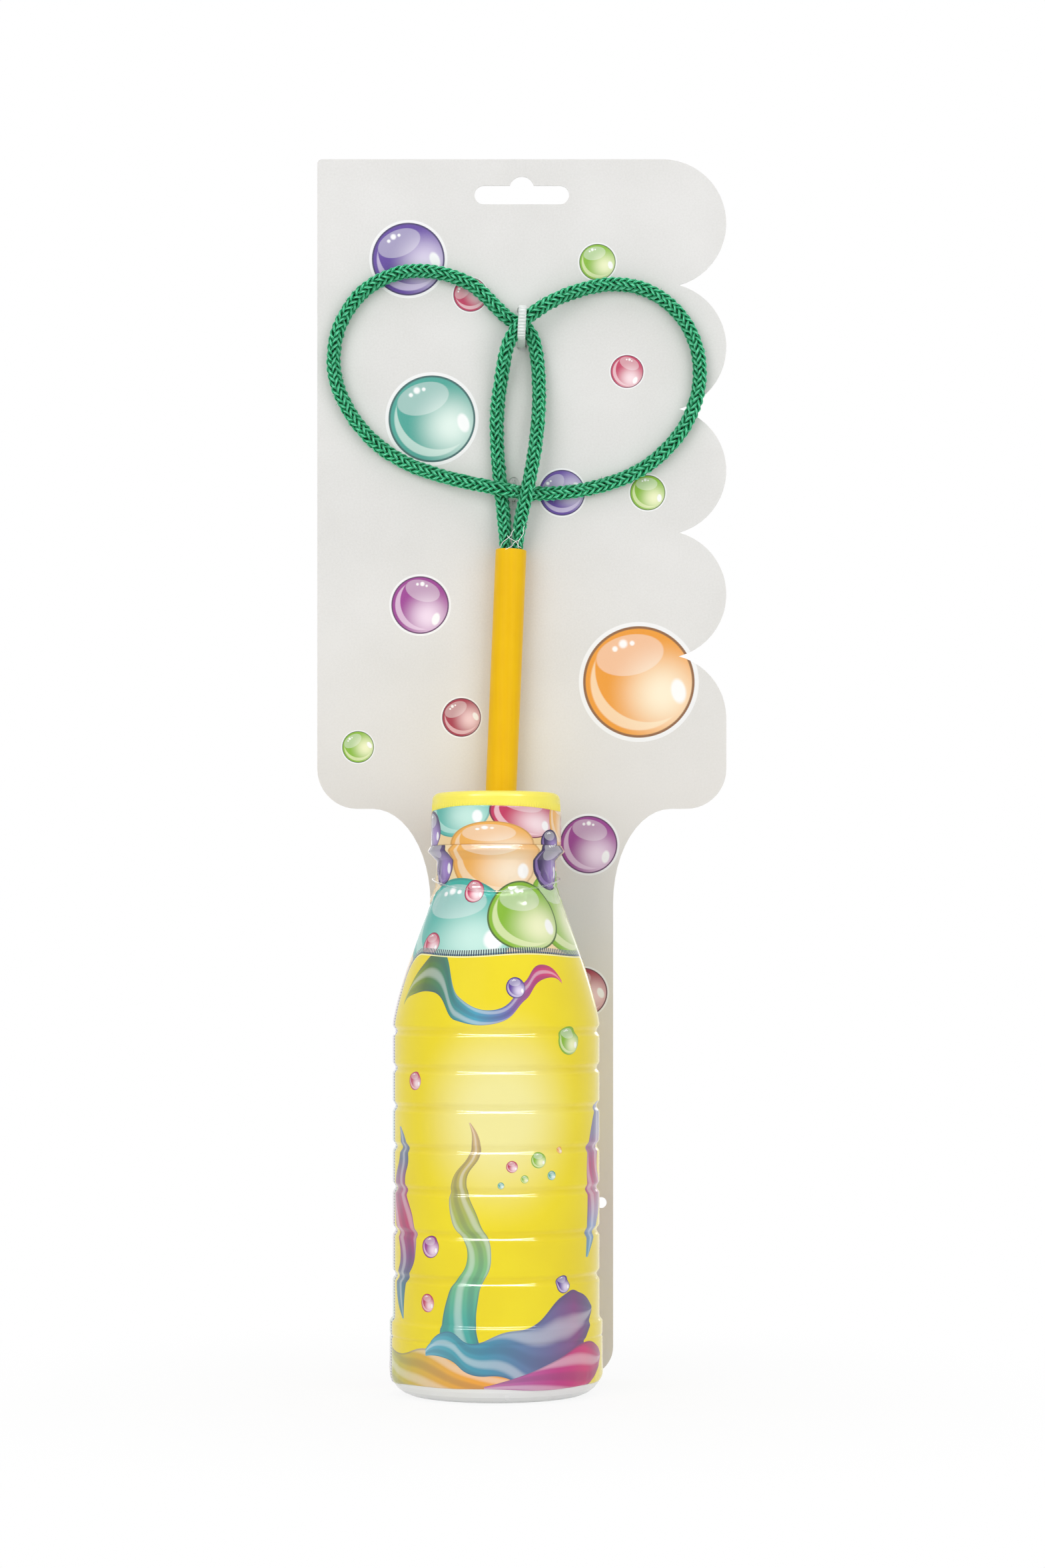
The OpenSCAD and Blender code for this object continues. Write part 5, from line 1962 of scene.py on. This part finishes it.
@dataclass
class Cap:
    """The knurled screw cap, its liner and the tear-off film round its skirt."""

    radius: float = 20.95 * MM
    knurl_low: float = 184.6 * MM
    knurl_high: float = 194.6 * MM
    knurl_count: int = 132
    knurl_r: float = 0.36 * MM
    stand_out: float = 0.15 * MM
    film_low: float = 178.95 * MM
    film_high: float = 191.8 * MM
    edge_wave: float = 0.25 * MM
    edge_drop: float = 1.5 * MM
    film_inner: float = 21.12 * MM
    film_outer: float = 21.3 * MM
    film_rows: int = 26
    inner_step: int = 5
    wrinkle: float = 0.16 * MM
    sides: int = 192

    def knurls(self, material: bpy.types.Material) -> bpy.types.Object:
        """Make the fine upright ribs round the skirt.

        Args:
            material: the ribs' finish.

        Returns:
            The ribs as one object.
        """
        reach = self.radius + self.stand_out - self.knurl_r
        middle = (self.knurl_low + self.knurl_high) / 2
        angles = [math.tau * k / self.knurl_count for k in range(self.knurl_count)]
        points = [(reach * math.cos(a), reach * math.sin(a), middle) for a in angles]
        base = mesh_object("knurl_places", np.array(points), [])
        return Recipes.knurls().bake("cap_knurls", base, {
            "Rib Radius": self.knurl_r, "Rib Height": self.knurl_high - self.knurl_low, "Material": material})

    def film(self) -> bpy.types.Object:
        """Make the tear-off film, whose upper edge waves a little and is lower at the sides.

        Returns:
            The film, wrinkled on its outside only.
        """
        rows = np.linspace(self.film_low, self.film_high, self.film_rows)
        outer = [(self.film_outer, z) for z in rows]
        inner = [(self.film_inner, z) for z in rows[::-self.inner_step]]
        relief = np.zeros((len(outer) + len(inner), self.sides))
        for i, z in enumerate(rows):
            for j in range(self.sides):
                a = math.tau * j / self.sides
                wrinkle = noise.noise(Vector((math.cos(a) * 5, math.sin(a) * 5, z / MM * 0.3)))
                relief[i, j] = max(0.0, wrinkle) * self.wrinkle
        film = lathe("tear_off_film", outer + inner, self.sides, relief)
        for vertex in film.data.vertices:
            share = (vertex.co.z - self.film_low) / (self.film_high - self.film_low)
            turn = math.atan2(vertex.co.y, vertex.co.x)
            wave = self.edge_wave * (math.sin(turn * 2 + 0.6) + 0.4 * math.sin(turn * 5))
            vertex.co.z += share ** 4 * (wave - self.edge_drop * math.cos(turn) ** 2)
        return film

    def build(self) -> list[bpy.types.Object]:
        """Make the cap's pieces.

        Returns:
            The cap, its knurls, the liner and the tear-off film.
        """
        lemon = lemon_plastic()
        knurls, film = self.knurls(lemon), self.film()
        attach(knurls, "cap")
        film.data.materials.append(NECK_FILM.make())
        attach(film, "cap")
        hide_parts("neck_sleeve")
        return [dress("cap", lemon), knurls, dress("cap_liner", FoamDisc().make()), film]


@dataclass
class Card:
    """The printed hang card."""

    board: PrintedBoard = CARD_BOARD

    def build(self) -> list[bpy.types.Object]:
        """Dress the card, and return it."""
        return [dress("backing_card", self.board.make())]


@dataclass(frozen=True)
class Studio:
    """The pale floor, the soft lamps and the camera of the photograph."""

    focal_px: float = 5100.0
    image_h: float = 2352.0
    horizon_row: float = 1450.0
    card_distance: float = 1150 * MM
    camera_x: float = 8.64 * MM
    camera_z: float = 139.7 * MM
    sensor: float = 36.0
    ambient: float = 0.45
    aim: Point3 = (0.01, 0.0, 0.2)
    floor_half: float = 4.0
    floor_dark: Colour = (0.9, 0.9, 0.9, 1.0)
    floor_pale: Colour = (0.94, 0.94, 0.94, 1.0)
    shadow_start: float = 40 * MM
    shadow_end: float = 240 * MM
    shadow_share: float = 0.12

    def camera(self) -> None:
        """Place the camera square to the card, with its frame shifted to the photograph's."""
        lens = bpy.data.cameras.new("photo_camera")
        lens.sensor_fit = "VERTICAL"
        lens.sensor_height = self.sensor
        lens.lens = self.focal_px / self.image_h * self.sensor
        lens.shift_y = (self.horizon_row - self.image_h / 2) / self.image_h
        lens.clip_start = 0.01
        camera = add_object("photo_camera", lens)
        camera.location = (self.camera_x, CARD_FRONT_Y - self.card_distance, self.camera_z)
        camera.rotation_euler = (math.pi / 2, 0, 0)
        bpy.context.scene.camera = camera

    def lamp(self, name: str, place: Point3, size: Point2, power: float, lights: bool = True,
             mirrored: bool = True) -> None:
        """Add one soft lamp that faces the middle of the object.

        Args:
            name: name of the lamp.
            place: where it stands.
            size: its width and height.
            power: power in watts.
            lights: the lamp lights matt surfaces.
            mirrored: the lamp shows in glossy surfaces.
        """
        light = bpy.data.lights.new(name, "AREA")
        light.shape = "RECTANGLE"
        light.size, light.size_y = size
        light.energy = power
        lamp = add_object(name, light)
        lamp.location = place
        lamp.rotation_euler = (Vector(self.aim) - Vector(place)).to_track_quat("-Z", "Y").to_euler()
        lamp.visible_diffuse = lights
        lamp.visible_glossy = mirrored

    def world(self) -> None:
        """Make the backdrop white where the camera, gloss or glass sees it, and a soft fill elsewhere."""
        world = bpy.data.worlds.new("studio_white")
        world.use_nodes = True
        builder = NodeBuilder(world.node_tree)
        world.node_tree.nodes.clear()
        seen = builder.backdrop_share()
        strength = builder.math("MULTIPLY_ADD", seen, 1 - self.ambient, self.ambient)
        background = builder.node("ShaderNodeBackground", {"Color": WHITE, "Strength": strength})
        output = builder.add("ShaderNodeOutputWorld")
        world.node_tree.links.new(background.outputs[0], output.inputs["Surface"])
        bpy.context.scene.world = world

    def floor(self) -> None:
        """Lay the pale floor, which shows white save for a share of the shadow near the bottle."""
        half = self.floor_half
        corners = np.array([(-half, -half, 0), (half, -half, 0), (half, half, 0), (-half, half, 0)])
        floor = mesh_object("floor", corners, [(0, 1, 2, 3)], smooth=False)
        material, builder, surface = new_material("pale_floor", Roughness=0.9, Specular_IOR_Level=0.0)
        mottle = builder.noise(builder.place(), 40, 2, 0.5)
        tone = builder.ramp(mottle, [(0.0, self.floor_dark), (1.0, self.floor_pale)])
        builder.feed(surface.inputs["Base Color"], tone)
        glow = builder.node("ShaderNodeEmission", {"Color": WHITE})
        mixer = builder.add("ShaderNodeMixShader")
        far = builder.step(builder.vector("LENGTH", builder.place()), self.shadow_start, self.shadow_end)
        share = builder.math("MULTIPLY_ADD", far, self.shadow_share, 1 - self.shadow_share)
        builder.feed(mixer.inputs[0], builder.times(builder.backdrop_share(), share))
        output = next(n for n in material.node_tree.nodes if n.type == "OUTPUT_MATERIAL")
        links = material.node_tree.links
        links.new(surface.outputs[0], mixer.inputs[1])
        links.new(glow.outputs[0], mixer.inputs[2])
        links.new(mixer.outputs[0], output.inputs["Surface"])
        floor.data.materials.append(material)

    def build(self) -> None:
        """Set up the camera, the floor, the world and the lamps."""
        self.camera()
        self.floor()
        self.world()
        self.lamp("key_lamp", (-0.85, -1.3, 0.7), size=(1.0, 1.2), power=7.5, mirrored=False)
        self.lamp("fill_lamp", (0.95, -1.25, 0.4), size=(1.0, 1.2), power=6.7, mirrored=False)
        self.lamp("rib_lamp", (0.02, -0.78, 1.5), size=(2.2, 0.14), power=32, lights=False)
        self.lamp("top_lamp", (0.0, -0.1, 1.5), size=(1.2, 1.2), power=6)
        self.lamp("back_lamp", (0.1, 1.3, 0.7), size=(1.0, 1.0), power=5)
        bpy.context.scene.view_settings.view_transform = "Standard"


def main() -> None:
    """Build the studio and each sub-assembly in turn, and report every piece."""
    logging.basicConfig(level=logging.INFO, format="%(message)s")
    Studio().build()
    for assembly in (RopeRing(), Handle(), Ties(), Card(), NeckLine(), Bottle(), Cap()):
        for piece in assembly.build():
            LOG.info("%s: %d faces", piece.name, len(piece.data.polygons))


if __name__ == "__main__":
    main()
